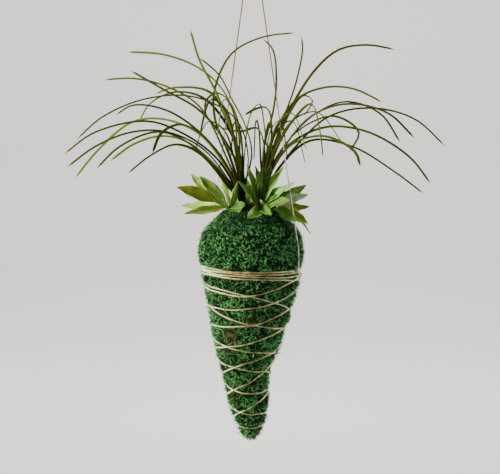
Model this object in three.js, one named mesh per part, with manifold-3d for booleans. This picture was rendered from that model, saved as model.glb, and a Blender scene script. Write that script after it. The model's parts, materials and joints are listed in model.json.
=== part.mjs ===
// Kokedama: a moss ball planter hung on twine, with arching rushes and a collar of broad leaves.
// Millimetres, +Z up, +X to the right of the front view, +Y towards the back.
// The origin is where the hanging loop bears on its hook.

import * as THREE from 'three';
import { mergeVertices } from 'three/addons/utils/BufferGeometryUtils.js';
import Module from 'manifold-3d';

const wasm = await Module();
wasm.setup();

// Heights below the hook
const STRAND_KNOT_Z = -25;
const RIM_Z = -325;
const MOSS_HEIGHT = 257.5;
const TIP_Z = RIM_Z - MOSS_HEIGHT;

// Gap between pieces that touch
const GAP = 0.3;

// Moss ball: [radius, height above the tip], up the outside to the rim
const MOSS_OUTLINE = [
  [0, 0], [6, 4.5], [11.5, 16], [15, 25], [19.3, 45], [22.4, 68], [24.9, 80], [31.6, 99], [38, 123],
  [45, 155], [51.2, 178], [55, 200], [56, 212], [52.4, 228], [48.8, 236], [42.4, 244], [37, 250], [31.8, 256],
];
const MOSS_OPENING_RADIUS = 28.6;
const MOSS_THICKNESS = 9;
const MOSS_HOLLOW_LOW = 16;
const MOSS_HOLLOW_HIGH = 240;
const MOSS_LUMP_DEPTH = 1.6;
const MOSS_SEGMENTS = 32;
const MOSS_RING_STEP = 12;
const HOLLOW_RING_STEP = 54;
const HOLLOW_WIDEST = 46;
const HOLLOW_BOTTOM = 12;
const RIM_DEPTH = 7.5;

// The ball hangs a little out of true: its middle swings to the left below the shoulder
const LEAN_BASE_X = -1.3;
const LEAN_SWING = 5.8;
const LEAN_HEIGHT = 80;
const LEAN_SPREAD = 50;

// Soil
const SOIL_EDGE_DROP = 6;
const SOIL_MOUND_DROP = 3;
const SOIL_MOUND_RADIUS = 15;
const SOIL_SEGMENTS = 20;

// Twine
const TWINE_RADIUS = 0.95;
const TWINE_SIDES = 4;
const TURN_STEPS = 16;
const BAND_TURNS = 4;
const BAND_PITCH = 2.7;
const BAND_TOP_DROP = 64.5;
const BAND_TILT = 3;
// Drops below the rim at which each lacing turn passes one side, the middle of the front, and the other side
const LACE_FROM_LEFT = [
  [81, 93, 114], [108, 125, 135], [146, 156, 162], [170, 178, 184],
  [196, 205, 204], [222, 229, 230], [242.5, 246, 242.5],
];
const LACE_FROM_RIGHT = [
  [72, 92, 86], [90, 107, 108], [108.5, 126, 129.5], [130, 147, 156],
  [156, 170, 185], [174, 194, 209], [206, 222, 235.5],
];
const LACE_BACK_DIP = 4;
const LACE_END_DROP = 243;

// Hanger
const CORD_RADIUS = 1.0;
const CORD_SIDES = 6;
const STRAND_STEPS = 20;
const STRAND_TOP_SPREAD = 1.3;
const STRAND_TOP_Z = STRAND_KNOT_Z - 3.3;
const SHOULDER_DROP = 46;
const ANCHOR_DROP = 67;
const STRAND_RIGHT_TURN = -23.5;
const KNOT_RIGHT_TURN = -24;
const STRAND_LEFT_TURN = 146;
const KNOT_LEFT_TURN = 147;
const KNOT_SIZE = 0.74;
const KNOT_DEPTH = 1.2;
const KNOT_STEPS = 24;
const KNOT_STAND_OFF = 4.6;
const STRAND_END_RISE = 2.8;
const TAIL_LENGTH = 9;
const LOOP_HALF_WIDTH = 6;

// Rushes
const CLUMP_RADIUS = 6.5;
const CLUMP_SINK = 16;
const FOOT_SIDES = 12;
const ROOT_DEPTH = 9;
const ROOT_RISE = 6;
const BLADE_SEGMENTS = 9;
const BLADE_BASE_RADIUS = 1.9;
const BLADE_TIP_RADIUS = 0.62;
const BLADE_TAPER = 2.2;
const ROOT_SPREAD = 4;
const GOLDEN_ANGLE = Math.PI * (3 - Math.sqrt(5));

// Broad leaves
const LEAF_STATIONS = 7;
const LEAF_THICKNESS = 0.8;
const LEAF_FOLD = 0.35;
const LEAF_WAVE = 0.6;
const PETIOLE_HALF_WIDTH = 0.8;
const STEM_RADIUS = 1.5;
const TWIG_SIDES = 6;
const TWIG_STEPS = 6;

const radians = THREE.MathUtils.degToRad;

// Solid helpers

function toSolid(geometry) {
  const bare = geometry.clone();
  bare.deleteAttribute('normal');
  bare.deleteAttribute('uv');
  const merged = mergeVertices(bare, 1e-5);
  const vertProperties = new Float32Array(merged.attributes.position.array);
  const triVerts = new Uint32Array(merged.index.array);
  return new wasm.Manifold(new wasm.Mesh({ numProp: 3, vertProperties, triVerts }));
}

function toGeometry(solid) {
  const mesh = solid.getMesh();
  const geometry = new THREE.BufferGeometry();
  geometry.setAttribute('position', new THREE.BufferAttribute(new Float32Array(mesh.vertProperties), 3));
  geometry.setIndex(new THREE.BufferAttribute(new Uint32Array(mesh.triVerts), 1));
  geometry.computeVertexNormals();
  return geometry;
}

// Fused pieces keep their outer skin only, so no hollow is sealed between them
function fuse(geometries) {
  const whole = geometries.map(toSolid).reduce((sum, piece) => sum.add(piece));
  const skins = whole.decompose().sort((a, b) => b.volume() - a.volume());
  return toGeometry(skins[0]);
}

// Joins rings of equal length into one closed skin that ends in a point at each end
function skin(rings, firstPoint, lastPoint) {
  const sides = rings[0].length;
  const points = [...rings.flat(), firstPoint, lastPoint];
  const first = points.length - 2;
  const last = points.length - 1;
  const faces = [];
  for (let side = 0; side < sides; side += 1) {
    const next = (side + 1) % sides;
    faces.push(first, next, side);
    for (let ring = 0; ring + 1 < rings.length; ring += 1) {
      const low = ring * sides;
      const high = low + sides;
      faces.push(low + side, low + next, high + next, low + side, high + next, high + side);
    }
    const top = (rings.length - 1) * sides;
    faces.push(last, top + side, top + next);
  }
  const geometry = new THREE.BufferGeometry();
  geometry.setAttribute('position', new THREE.Float32BufferAttribute(points.flatMap((p) => p.toArray()), 3));
  geometry.setIndex(faces);
  return geometry;
}

function roundSection(radius, sides) {
  const corners = Array.from({ length: sides }, (_, corner) => {
    const turn = (2 * Math.PI * corner) / sides;
    return new THREE.Vector2(radius * Math.cos(turn), radius * Math.sin(turn));
  });
  return new THREE.Shape(corners);
}

function tube(path, radius, sides, steps) {
  const options = { steps, extrudePath: path, bevelEnabled: false };
  return new THREE.ExtrudeGeometry(roundSection(radius, sides), options);
}

function named(name, geometry, color, roughness) {
  const mesh = new THREE.Mesh(geometry, new THREE.MeshStandardMaterial({ color, roughness, metalness: 0 }));
  mesh.name = name;
  return mesh;
}

// Form of the moss ball

function mossRadius(height) {
  const last = MOSS_OUTLINE.length - 1;
  let low = 0;
  while (low < last - 1 && MOSS_OUTLINE[low + 1][1] < height) low += 1;
  const slopeAt = (index) => {
    const before = MOSS_OUTLINE[Math.max(index - 1, 0)];
    const after = MOSS_OUTLINE[Math.min(index + 1, last)];
    return (after[0] - before[0]) / (after[1] - before[1]);
  };
  const [radiusLow, heightLow] = MOSS_OUTLINE[low];
  const [radiusHigh, heightHigh] = MOSS_OUTLINE[low + 1];
  const span = heightHigh - heightLow;
  const t = THREE.MathUtils.clamp((height - heightLow) / span, 0, 1);
  const ease = t * t * (3 - 2 * t);
  const bend = t * (1 - t) * span * ((1 - t) * slopeAt(low) - t * slopeAt(low + 1));
  return radiusLow + (radiusHigh - radiusLow) * ease + bend;
}

function mossFlare(height) {
  return Math.hypot(1, (mossRadius(height + 1) - mossRadius(height - 1)) / 2);
}

function mossLean(height) {
  const off = (height - LEAN_HEIGHT) / LEAN_SPREAD;
  return LEAN_BASE_X - LEAN_SWING * Math.exp(-off * off);
}

// Shallow hollows pressed into the moss, never standing out past its outline
function mossHollow(turn, height) {
  const wave = Math.sin(3 * turn + height / 14) * Math.cos(2 * turn - height / 23);
  return MOSS_LUMP_DEPTH * (0.5 + 0.5 * wave);
}

// A point that stands off the moss outline, at a turn about the axis and a height above the tip
function onMoss(turn, height, standOff) {
  const radius = mossRadius(height) + standOff * mossFlare(height);
  return new THREE.Vector3(
    mossLean(height) + radius * Math.cos(turn),
    radius * Math.sin(turn),
    TIP_Z + height,
  );
}

// Lathes stand on Z here, so their own Y axis is turned up, and each ring moves with the lean
function turned(profile, segments) {
  const points = profile.map(([radius, height]) => new THREE.Vector2(radius, height));
  const geometry = new THREE.LatheGeometry(points, segments);
  geometry.rotateX(Math.PI / 2);
  return geometry;
}

function leaned(geometry, hollow) {
  const place = geometry.attributes.position;
  for (let i = 0; i < place.count; i += 1) {
    const x = place.getX(i);
    const y = place.getY(i);
    const height = place.getZ(i);
    const radius = Math.hypot(x, y);
    const pressed = radius > 0 ? hollow(radius, Math.atan2(y, x), height) / radius : 0;
    place.setXYZ(i, x * (1 - pressed) + mossLean(height), y * (1 - pressed), height + TIP_Z);
  }
  return geometry;
}

// Moss jacket: up the outside, over the rim, and down the hollow that holds the soil

function mossJacket() {
  const outside = [[0, 0], [6, 4.5]];
  for (let height = 11; height < MOSS_OUTLINE.at(-1)[1] - 4; height += MOSS_RING_STEP) {
    outside.push([mossRadius(height), height]);
  }
  const rim = [
    MOSS_OUTLINE.at(-1),
    [MOSS_OPENING_RADIUS + 1.8, MOSS_HEIGHT],
    [MOSS_OPENING_RADIUS, MOSS_HEIGHT - 1],
    [MOSS_OPENING_RADIUS, MOSS_HEIGHT - RIM_DEPTH],
  ];
  const inside = [];
  for (let height = MOSS_HOLLOW_HIGH; height > MOSS_HOLLOW_LOW; height -= HOLLOW_RING_STEP) {
    inside.push([hollowRadius(height), height]);
  }
  const profile = [...outside, ...rim, ...inside, [0, HOLLOW_BOTTOM]];
  return leaned(turned(profile, MOSS_SEGMENTS), (radius, turn, height) => {
    const onOutside = radius > mossRadius(height) - 1 && height > 5 && height < MOSS_HEIGHT - RIM_DEPTH;
    return onOutside ? mossHollow(turn, height) : 0;
  });
}

function hollowRadius(height) {
  return Math.min(mossRadius(height) - MOSS_THICKNESS, HOLLOW_WIDEST);
}

// Soil core: fills the jacket, with plain holes for the feet of the plants

function soilCore(feet) {
  const rings = [];
  for (let height = MOSS_HOLLOW_HIGH; height > MOSS_HOLLOW_LOW; height -= HOLLOW_RING_STEP) {
    rings.unshift([hollowRadius(height) - 2 * GAP, height]);
  }
  const neck = MOSS_OPENING_RADIUS - 2 * GAP;
  const mound = MOSS_HEIGHT - SOIL_MOUND_DROP;
  const profile = [
    [0, HOLLOW_BOTTOM + 2 * GAP],
    ...rings,
    [neck, MOSS_HEIGHT - RIM_DEPTH - GAP],
    [neck, MOSS_HEIGHT - SOIL_EDGE_DROP],
    [SOIL_MOUND_RADIUS, mound - 2 * GAP],
    [0, mound],
  ];
  const body = toSolid(leaned(turned(profile, SOIL_SEGMENTS), () => 0));
  return toGeometry(feet.reduce((soil, foot) => soil.subtract(toSolid(foot)), body));
}

// The round foot of a clump, drawn in above the soil
function clumpFoot({ x, y }) {
  const profile = [
    [0, 0],
    [CLUMP_RADIUS, 0],
    [CLUMP_RADIUS, CLUMP_SINK - 4],
    [0.8 * CLUMP_RADIUS, CLUMP_SINK],
    [0, CLUMP_SINK + 1],
  ];
  return turned(profile, FOOT_SIDES).translate(x, y, RIM_Z - CLUMP_SINK);
}

// The hole in the soil that a clump's foot stands in
function footHole({ x, y }) {
  const depth = CLUMP_SINK + GAP;
  const radius = CLUMP_RADIUS + GAP;
  const profile = [[0, 0], [radius, 0], [radius, 2 * depth], [0, 2 * depth]];
  return turned(profile, FOOT_SIDES).translate(x, y, RIM_Z - depth);
}

// Twine lacing

// A path stepped evenly by turns about the ball, so that small turns get as many steps as large ones.
// It starts at the right, and drops holds its drop below the rim at each quarter turn.
class Winding extends THREE.Curve {
  constructor(drops, direction) {
    super();
    this.drops = drops;
    this.direction = direction;
  }

  dropAt(quarters) {
    const last = this.drops.length - 1;
    const low = Math.min(Math.floor(quarters), last - 1);
    const [before, from, to, after] = [-1, 0, 1, 2].map((step) => (
      this.drops[THREE.MathUtils.clamp(low + step, 0, last)]
    ));
    const t = quarters - low;
    const bend = t * (1 - t) * ((1 - t) * (to - before) - t * (after - from)) / 2;
    return from + (to - from) * t * t * (3 - 2 * t) + bend;
  }

  getPoint(t, target = new THREE.Vector3()) {
    const quarters = t * (this.drops.length - 1);
    const height = MOSS_HEIGHT - this.dropAt(quarters);
    const chordSag = mossRadius(height) * (1 - Math.cos(Math.PI / TURN_STEPS));
    const turn = (this.direction * Math.PI * quarters) / 2;
    return target.copy(onMoss(turn, height, TWINE_RADIUS + GAP + chordSag));
  }

  getPointAt(u, target) {
    return this.getPoint(u, target);
  }

  getTangentAt(u, target) {
    return this.getTangent(u, target);
  }
}

function windingTube(drops, direction) {
  const steps = Math.round(((drops.length - 1) * TURN_STEPS) / 4);
  return tube(new Winding(drops, direction), TWINE_RADIUS, TWINE_SIDES, steps);
}

// The band's tilt is lowest at the right and highest at the left
function bandDrops() {
  return Array.from({ length: 4 * BAND_TURNS + 1 }, (_, quarter) => (
    BAND_TOP_DROP + (BAND_PITCH * quarter) / 4 + BAND_TILT * Math.cos((Math.PI * quarter) / 2)
  ));
}

// Adds, between the turns, the drop at which each crosses the back
function laceDrops(turns) {
  return turns.flatMap((passes, index) => {
    const next = index + 1 < turns.length ? turns[index + 1][0] : LACE_END_DROP;
    return [...passes, (passes.at(-1) + next) / 2 + (index + 1 < turns.length ? LACE_BACK_DIP : 0)];
  });
}

function twineLacing() {
  const band = bandDrops();
  const firstBack = (band.at(-1) + LACE_FROM_LEFT[0][0]) / 2;
  const fromLeft = windingTube([...band, firstBack, ...laceDrops(LACE_FROM_LEFT)], 1);
  const fromRight = windingTube(laceDrops(LACE_FROM_RIGHT), -1);
  return fuse([fromLeft, fromRight]);
}

// Knots and hanger

class KnotCurve extends THREE.Curve {
  getPoint(t, target = new THREE.Vector3()) {
    const turn = 2 * Math.PI * t;
    return target.set(
      KNOT_SIZE * (Math.sin(turn) + 2 * Math.sin(2 * turn)),
      KNOT_SIZE * (Math.cos(turn) - 2 * Math.cos(2 * turn)),
      -KNOT_DEPTH * Math.sin(3 * turn),
    );
  }
}

// A tight trefoil of cord; hulls of neighbouring sections stay sound where the cord meets itself
function knotRing() {
  const path = new KnotCurve();
  const centres = Array.from({ length: KNOT_STEPS }, (_, step) => path.getPoint(step / KNOT_STEPS));
  const sections = centres.map((centre, step) => {
    const ahead = centres[(step + 1) % KNOT_STEPS].clone().sub(centres.at(step - 1)).normalize();
    const across = new THREE.Vector3(0, 0, 1).cross(ahead).normalize();
    const over = ahead.clone().cross(across);
    return Array.from({ length: CORD_SIDES }, (_, corner) => {
      const turn = (2 * Math.PI * corner) / CORD_SIDES;
      return centre.clone().addScaledVector(across, CORD_RADIUS * Math.cos(turn))
        .addScaledVector(over, CORD_RADIUS * Math.sin(turn)).toArray();
    });
  });
  const lengths = sections.map((section, step) => {
    const next = sections[(step + 1) % KNOT_STEPS];
    return wasm.Manifold.hull([...section, ...next]);
  });
  return toGeometry(wasm.Manifold.union(lengths));
}

// Turns a knot that lies flat in XY so that it faces outwards at a turn about the ball
function facing(geometry, turn) {
  return geometry.rotateX(Math.PI / 2).rotateZ(turn + Math.PI / 2);
}

function anchorKnot(turnDegrees) {
  const turn = radians(turnDegrees);
  const centre = onMoss(turn, MOSS_HEIGHT - ANCHOR_DROP, KNOT_STAND_OFF);
  const ring = facing(knotRing(), turn).translate(centre.x, centre.y, centre.z);
  const along = new THREE.Vector3(-Math.sin(turn), Math.cos(turn), 0);
  const tails = [-1, 1].map((side) => {
    const end = centre.clone().addScaledVector(along, side * 2.6);
    end.z -= TAIL_LENGTH;
    const start = centre.clone().addScaledVector(along, side * 1.4);
    start.z -= 1.5;
    const bow = start.clone().lerp(end, 0.5).addScaledVector(along, side * 0.8);
    return tube(new THREE.CatmullRomCurve3([start, bow, end]), 0.8 * CORD_RADIUS, 5, 3);
  });
  return fuse([ring, ...tails]);
}

function strand(side, shoulderTurn, knotTurn) {
  const top = new THREE.Vector3(side * STRAND_TOP_SPREAD, 0, STRAND_TOP_Z);
  const shoulder = onMoss(radians(shoulderTurn), MOSS_HEIGHT - SHOULDER_DROP, CORD_RADIUS + 2 * GAP);
  const knot = onMoss(radians(knotTurn), MOSS_HEIGHT - ANCHOR_DROP, KNOT_STAND_OFF);
  const end = knot.clone().add(new THREE.Vector3(0, 0, STRAND_END_RISE));
  const path = new THREE.CurvePath();
  const corner = 12;
  const before = shoulder.clone().add(top.clone().sub(shoulder).setLength(corner));
  const after = shoulder.clone().lerp(end, 0.6);
  path.add(new THREE.LineCurve3(top, before));
  path.add(new THREE.QuadraticBezierCurve3(before, shoulder, after));
  path.add(new THREE.LineCurve3(after, end));
  return tube(path, CORD_RADIUS, CORD_SIDES, STRAND_STEPS);
}

function hangingLoop() {
  const ring = knotRing().rotateX(Math.PI / 2).translate(0, 0, STRAND_KNOT_Z);
  const loop = new THREE.CatmullRomCurve3([
    new THREE.Vector3(-0.6, 0, STRAND_KNOT_Z + 1),
    new THREE.Vector3(-0.6 * LOOP_HALF_WIDTH, 0, -17),
    new THREE.Vector3(-LOOP_HALF_WIDTH, 0, -8),
    new THREE.Vector3(-0.6 * LOOP_HALF_WIDTH, 0, -1),
    new THREE.Vector3(0, 0, CORD_RADIUS),
    new THREE.Vector3(0.6 * LOOP_HALF_WIDTH, 0, -1),
    new THREE.Vector3(LOOP_HALF_WIDTH, 0, -8),
    new THREE.Vector3(0.6 * LOOP_HALF_WIDTH, 0, -17),
    new THREE.Vector3(0.6, 0, STRAND_KNOT_Z + 1),
  ]);
  return fuse([ring, tube(loop, CORD_RADIUS, CORD_SIDES, 16)]);
}

// Rush clumps

// Each blade: how far its tip stands back, then the points that it passes, across and up from the rim
const LEFT_RUSHES = [
  { back: -10, pass: [[-15, 61], [-31, 106], [-42, 132], [-59, 165], [-69, 199]] },
  { back: 60, pass: [[-11, 60], [-30, 126], [-59, 155], [-99, 171], [-144, 175]] },
  { back: -20, pass: [[-15, 43], [-35, 82], [-61, 111], [-96, 131], [-134, 153]] },
  { back: 45, pass: [[-29, 55], [-59, 112], [-94, 134], [-132, 144], [-169, 143]] },
  { back: 85, pass: [[-15, 53], [-24, 83], [-47, 128], [-88, 134], [-113, 127]] },
  { back: 15, pass: [[-5, 61], [-19, 100], [-66, 124], [-121, 121], [-168, 101], [-198, 75]] },
  { back: -30, pass: [[-23, 30], [-42, 58], [-78, 84], [-116, 97], [-173, 85], [-207, 61]] },
  { back: -50, pass: [[-22, 25], [-55, 67], [-96, 86], [-134, 85], [-171, 70], [-201, 48]] },
  { back: 62, pass: [[-25, 37], [-59, 81], [-99, 98], [-136, 95], [-175, 64], [-204, 30]] },
  { back: -85, pass: [[-22, 23], [-45, 51], [-78, 79], [-105, 86], [-142, 71], [-166, 48]] },
  { back: 72, pass: [[-27, 31], [-71, 71], [-102, 79], [-135, 70], [-164, 50]] },
  { back: -110, pass: [[-25, 24], [-57, 63], [-82, 73], [-108, 62], [-131, 44]] },
  { back: -130, pass: [[-20, 31], [-52, 81], [-76, 95], [-95, 87], [-104, 66]] },
  { back: 75, pass: [[-16, 64], [-52, 120], [-87, 129], [-117, 116], [-131, 94]] },
  { back: -60, pass: [[-29, 49], [-61, 88], [-95, 110], [-129, 115], [-148, 104]] },
  { back: 55, pass: [[-13, 81], [-26, 119], [-41, 128], [-53, 119], [-53, 98]] },
  { back: 30, pass: [[-26, 61], [-41, 98], [-42, 131], [-23, 172], [10, 190], [49, 196]] },
  { back: -30, pass: [[-1, 61], [-8, 93], [-22, 120], [-36, 147], [-58, 167]] },
];
const RIGHT_RUSHES = [
  { back: 15, pass: [[18, 48], [32, 91], [49, 138], [57, 179], [55, 192]] },
  { back: 40, pass: [[18, 45], [37, 97], [69, 151], [97, 176], [129, 182], [163, 177]] },
  { back: -30, pass: [[18, 65], [48, 120], [79, 134], [110, 133], [143, 118]] },
  { back: -25, pass: [[12, 65], [23, 111], [26, 145], [22, 176], [11, 188]] },
  { back: 20, pass: [[22, 31], [49, 68], [87, 102], [134, 111], [182, 99], [218, 68]] },
  { back: -60, pass: [[28, 54], [63, 101], [101, 116], [146, 107], [176, 79]] },
  { back: 80, pass: [[18, 31], [37, 69], [76, 107], [109, 118], [148, 104], [173, 70]] },
  { back: -45, pass: [[18, 32], [37, 67], [79, 90], [125, 86], [171, 59], [195, 29]] },
  { back: 60, pass: [[27, 39], [65, 74], [114, 67], [163, 38], [198, 12]] },
  { back: -110, pass: [[20, 38], [43, 72], [77, 82], [109, 66], [114, 51]] },
  { back: 105, pass: [[26, 53], [57, 88], [96, 101], [125, 82], [115, 59]] },
  { back: -120, pass: [[20, 50], [40, 94], [63, 117], [71, 90], [74, 61]] },
  { back: -35, pass: [[15, 49], [21, 88], [16, 112], [4, 111], [-9, 104]] },
  { back: 60, pass: [[13, 36], [13, 70], [6, 88], [-14, 84], [-37, 88]] },
  { back: 95, pass: [[23, 58], [44, 107], [59, 125], [70, 120], [60, 101]] },
];
// fillTurns are the turns, in degrees, at which a clump sends shorter blades to the back and the front
const LEFT_CLUMP = { x: -12, y: 4, rushes: LEFT_RUSHES, fillTurns: [78, 98, 118, 134, 232, 258] };
const RIGHT_CLUMP = { x: 11, y: 9, rushes: RIGHT_RUSHES, fillTurns: [40, 58, 76, 92, 282, 306] };
// How far those blades reach out, and how high their crests rise above the rim
const FILL_REACH = [75, 125];
const FILL_CREST = [85, 125];
const FILL_SEED = 5;

function seededRandom(seed) {
  let state = seed;
  return () => {
    state = (state * 16807) % 2147483647;
    return (state - 1) / 2147483646;
  };
}

function fillRushes(clump, random) {
  return clump.fillTurns.map((turnDegrees) => {
    const turn = radians(turnDegrees + 8 * (random() - 0.5));
    const reach = THREE.MathUtils.lerp(...FILL_REACH, random());
    const crest = THREE.MathUtils.lerp(...FILL_CREST, random());
    const fall = 0.45 + 0.3 * random();
    const pass = [[0.12, 0.5], [0.36, 0.9], [0.68, 1], [1, fall]].map(([out, up]) => (
      [clump.x + reach * out * Math.cos(turn), crest * up]
    ));
    return { back: reach * Math.sin(turn), pass };
  });
}

// A three-sided blade along a curve, thick at the foot and drawn to a point
function rushBlade(points) {
  const path = new THREE.CatmullRomCurve3(points, false, 'centripetal');
  const frames = path.computeFrenetFrames(BLADE_SEGMENTS, false);
  const rings = Array.from({ length: BLADE_SEGMENTS }, (_, step) => {
    const u = step / BLADE_SEGMENTS;
    const centre = path.getPointAt(u);
    const radius = BLADE_TIP_RADIUS + (BLADE_BASE_RADIUS - BLADE_TIP_RADIUS) * (1 - u) ** BLADE_TAPER;
    return Array.from({ length: 3 }, (__, corner) => {
      const turn = (2 * Math.PI * corner) / 3;
      return centre.clone().addScaledVector(frames.normals[step], radius * Math.cos(turn))
        .addScaledVector(frames.binormals[step], radius * Math.sin(turn));
    });
  });
  return skin(rings, points[0].clone().add(new THREE.Vector3(0, 0, -1)), points.at(-1));
}

function bladePoints(clump, rush, index, count) {
  const spread = ROOT_SPREAD * Math.sqrt((index + 0.5) / count);
  const rootX = clump.x + spread * Math.cos(index * GOLDEN_ANGLE);
  const rootY = clump.y + spread * Math.sin(index * GOLDEN_ANGLE);
  const points = [
    new THREE.Vector3(rootX, rootY, RIM_Z - ROOT_DEPTH),
    new THREE.Vector3(rootX, rootY, RIM_Z + ROOT_RISE),
  ];
  const route = [[rootX, ROOT_RISE], ...rush.pass];
  const lengths = route.slice(1).map(([x, z], step) => Math.hypot(x - route[step][0], z - route[step][1]));
  const total = lengths.reduce((sum, length) => sum + length);
  let gone = 0;
  rush.pass.forEach(([x, z], step) => {
    gone += lengths[step];
    points.push(new THREE.Vector3(x, rootY + (rush.back * gone) / total, RIM_Z + z));
  });
  return points;
}

function rushClump(clump, seed) {
  const rushes = [...clump.rushes, ...fillRushes(clump, seededRandom(seed))];
  const blades = rushes.map((rush, index) => rushBlade(bladePoints(clump, rush, index, rushes.length)));
  return fuse([clumpFoot(clump), ...blades]);
}

// Broad leaves

// Lance-shaped outline: half-width, as a part of the widest, along the leaf
function lance(t) {
  return Math.sin(Math.PI * t ** 0.88) ** 1.1;
}

// A folded leaf from its petiole to its tip; roll turns it about its own length, arch lifts its middle
function broadLeaf(from, to, { width, arch, roll }) {
  const chord = to.clone().sub(from);
  const length = chord.length();
  const ahead = chord.clone().normalize();
  const level = new THREE.Vector3(-ahead.y, ahead.x, 0);
  if (level.length() < 0.05) level.set(1, 0, 0);
  const across = level.normalize().applyAxisAngle(ahead, radians(roll));
  const out = ahead.clone().cross(across).normalize();
  const rings = [];
  for (let station = 0; station < LEAF_STATIONS; station += 1) {
    const t = station / LEAF_STATIONS;
    const half = Math.max(PETIOLE_HALF_WIDTH, (width / 2) * lance(t));
    const rise = arch * Math.sin(Math.PI * t);
    const middle = from.clone().addScaledVector(ahead, length * t).addScaledVector(out, rise);
    const ripple = half > PETIOLE_HALF_WIDTH ? LEAF_WAVE * Math.sin(station * GOLDEN_ANGLE) : 0;
    const lift = LEAF_FOLD * half + ripple;
    const left = middle.clone().addScaledVector(across, -half).addScaledVector(out, lift);
    const right = middle.clone().addScaledVector(across, half).addScaledVector(out, lift);
    const top = [left, middle, right];
    const under = top.map((point) => point.clone().addScaledVector(out, -LEAF_THICKNESS)).reverse();
    rings.push([...top, ...under].reverse());
  }
  return skin(rings, from.clone().addScaledVector(ahead, -0.6), to);
}

// Sprigs: the twig's points from the soil, then each leaf's place along it and where its tip reaches
const SPRIGS = {
  leaf_sprig_left: {
    twig: [[-19, -6, -14], [-22, -7, 0], [-27, -8, 3.5], [-33, -8, 5]],
    leaves: [
      { at: 0.95, tip: [-81, -20, 25], width: 16, arch: 3, roll: -60 },
      { at: 0.85, tip: [-70, 12, 36], width: 14, arch: 2, roll: -50 },
      { at: 0.78, tip: [-59, -2, 37], width: 12, arch: 2, roll: -55 },
      { at: 0.72, tip: [-52, -24, 24], width: 9, arch: 2, roll: -60 },
      { at: 0.95, tip: [-71, -34, -4], width: 14, arch: 4, roll: -45 },
      { at: 0.98, tip: [-80, 6, 4], width: 11, arch: 3, roll: -40 },
      { at: 0.6, tip: [-37, -6, 38], width: 6, arch: 1, roll: 60 },
      { at: 0.5, tip: [-17, -27, 32], width: 8, arch: 1, roll: 20 },
      { at: 0.66, tip: [-12, -33, 5], width: 9, arch: 3, roll: 10 },
    ],
  },
  leaf_rosette_front: {
    twig: [[7, -15, -14], [8, -16, 0], [9, -17, 5]],
    leaves: [
      { at: 0.8, tip: [-16, -30, 34], width: 10, arch: 2, roll: -50 },
      { at: 0.95, tip: [-6, -20, 49], width: 9, arch: 1, roll: -70 },
      { at: 0.97, tip: [5, -28, 49], width: 13, arch: 2, roll: -20 },
      { at: 0.92, tip: [17, -36, 45], width: 12, arch: 2, roll: -10 },
      { at: 0.88, tip: [35, -24, 48], width: 11, arch: 2, roll: 60 },
      { at: 0.82, tip: [47, -34, 33], width: 11, arch: 2, roll: 45 },
      { at: 0.76, tip: [31, -46, 5], width: 9, arch: 3, roll: 20 },
      { at: 0.7, tip: [-7, -46, -5], width: 11, arch: 4, roll: 15 },
      { at: 0.72, tip: [17, -51, -3], width: 11, arch: 4, roll: -5 },
    ],
  },
  leaf_sprig_right: {
    twig: [[20, -5, -14], [23, -5, 0], [29, -5, 3], [38, -5, -3]],
    leaves: [
      { at: 0.7, tip: [61, 12, 26], width: 10, arch: 2, roll: 55 },
      { at: 0.78, tip: [63, -9, 16], width: 11, arch: 2, roll: 60 },
      { at: 0.9, tip: [63, 6, 3], width: 11, arch: 2, roll: 40 },
      { at: 0.86, tip: [61, -12, -13], width: 14, arch: 3, roll: 50 },
      { at: 0.97, tip: [66, 1, -26], width: 7, arch: 3, roll: 30 },
    ],
  },
  leaf_sprig_back: {
    twig: [[-1, 22, -14], [-1, 23, 0], [-1, 25, 5]],
    leaves: [
      { at: 0.8, tip: [-38, 50, 22], width: 12, arch: 3, roll: 0 },
      { at: 0.9, tip: [-29, 60, 14], width: 12, arch: 3, roll: 0 },
      { at: 0.95, tip: [-9, 62, 32], width: 11, arch: 2, roll: 0 },
      { at: 0.86, tip: [13, 68, 8], width: 13, arch: 3, roll: 0 },
      { at: 0.88, tip: [38, 52, 22], width: 12, arch: 3, roll: 0 },
      { at: 0.76, tip: [50, 34, 8], width: 11, arch: 3, roll: 0 },
      { at: 0.74, tip: [-52, 46, 2], width: 10, arch: 3, roll: 0 },
      { at: 0.97, tip: [12, 44, 44], width: 9, arch: 1, roll: 0 },
    ],
  },
};

function sprigTwig(sprig) {
  return new THREE.CatmullRomCurve3(sprig.twig.map(([x, y, z]) => new THREE.Vector3(x, y, RIM_Z + z)));
}

function leafSprig(sprig) {
  const twig = sprigTwig(sprig);
  const leaves = sprig.leaves.map((leaf) => {
    const [x, y, z] = leaf.tip;
    return broadLeaf(twig.getPointAt(leaf.at), new THREE.Vector3(x, y, RIM_Z + z), leaf);
  });
  return fuse([tube(twig, STEM_RADIUS, TWIG_SIDES, TWIG_STEPS), ...leaves]);
}

function twigHole(sprig) {
  return tube(sprigTwig(sprig), STEM_RADIUS + GAP, TWIG_SIDES, TWIG_STEPS).translate(0, 0, -GAP);
}

// Assembly

const feet = [
  ...[LEFT_CLUMP, RIGHT_CLUMP].map(footHole),
  ...Object.values(SPRIGS).map(twigHole),
];

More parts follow.
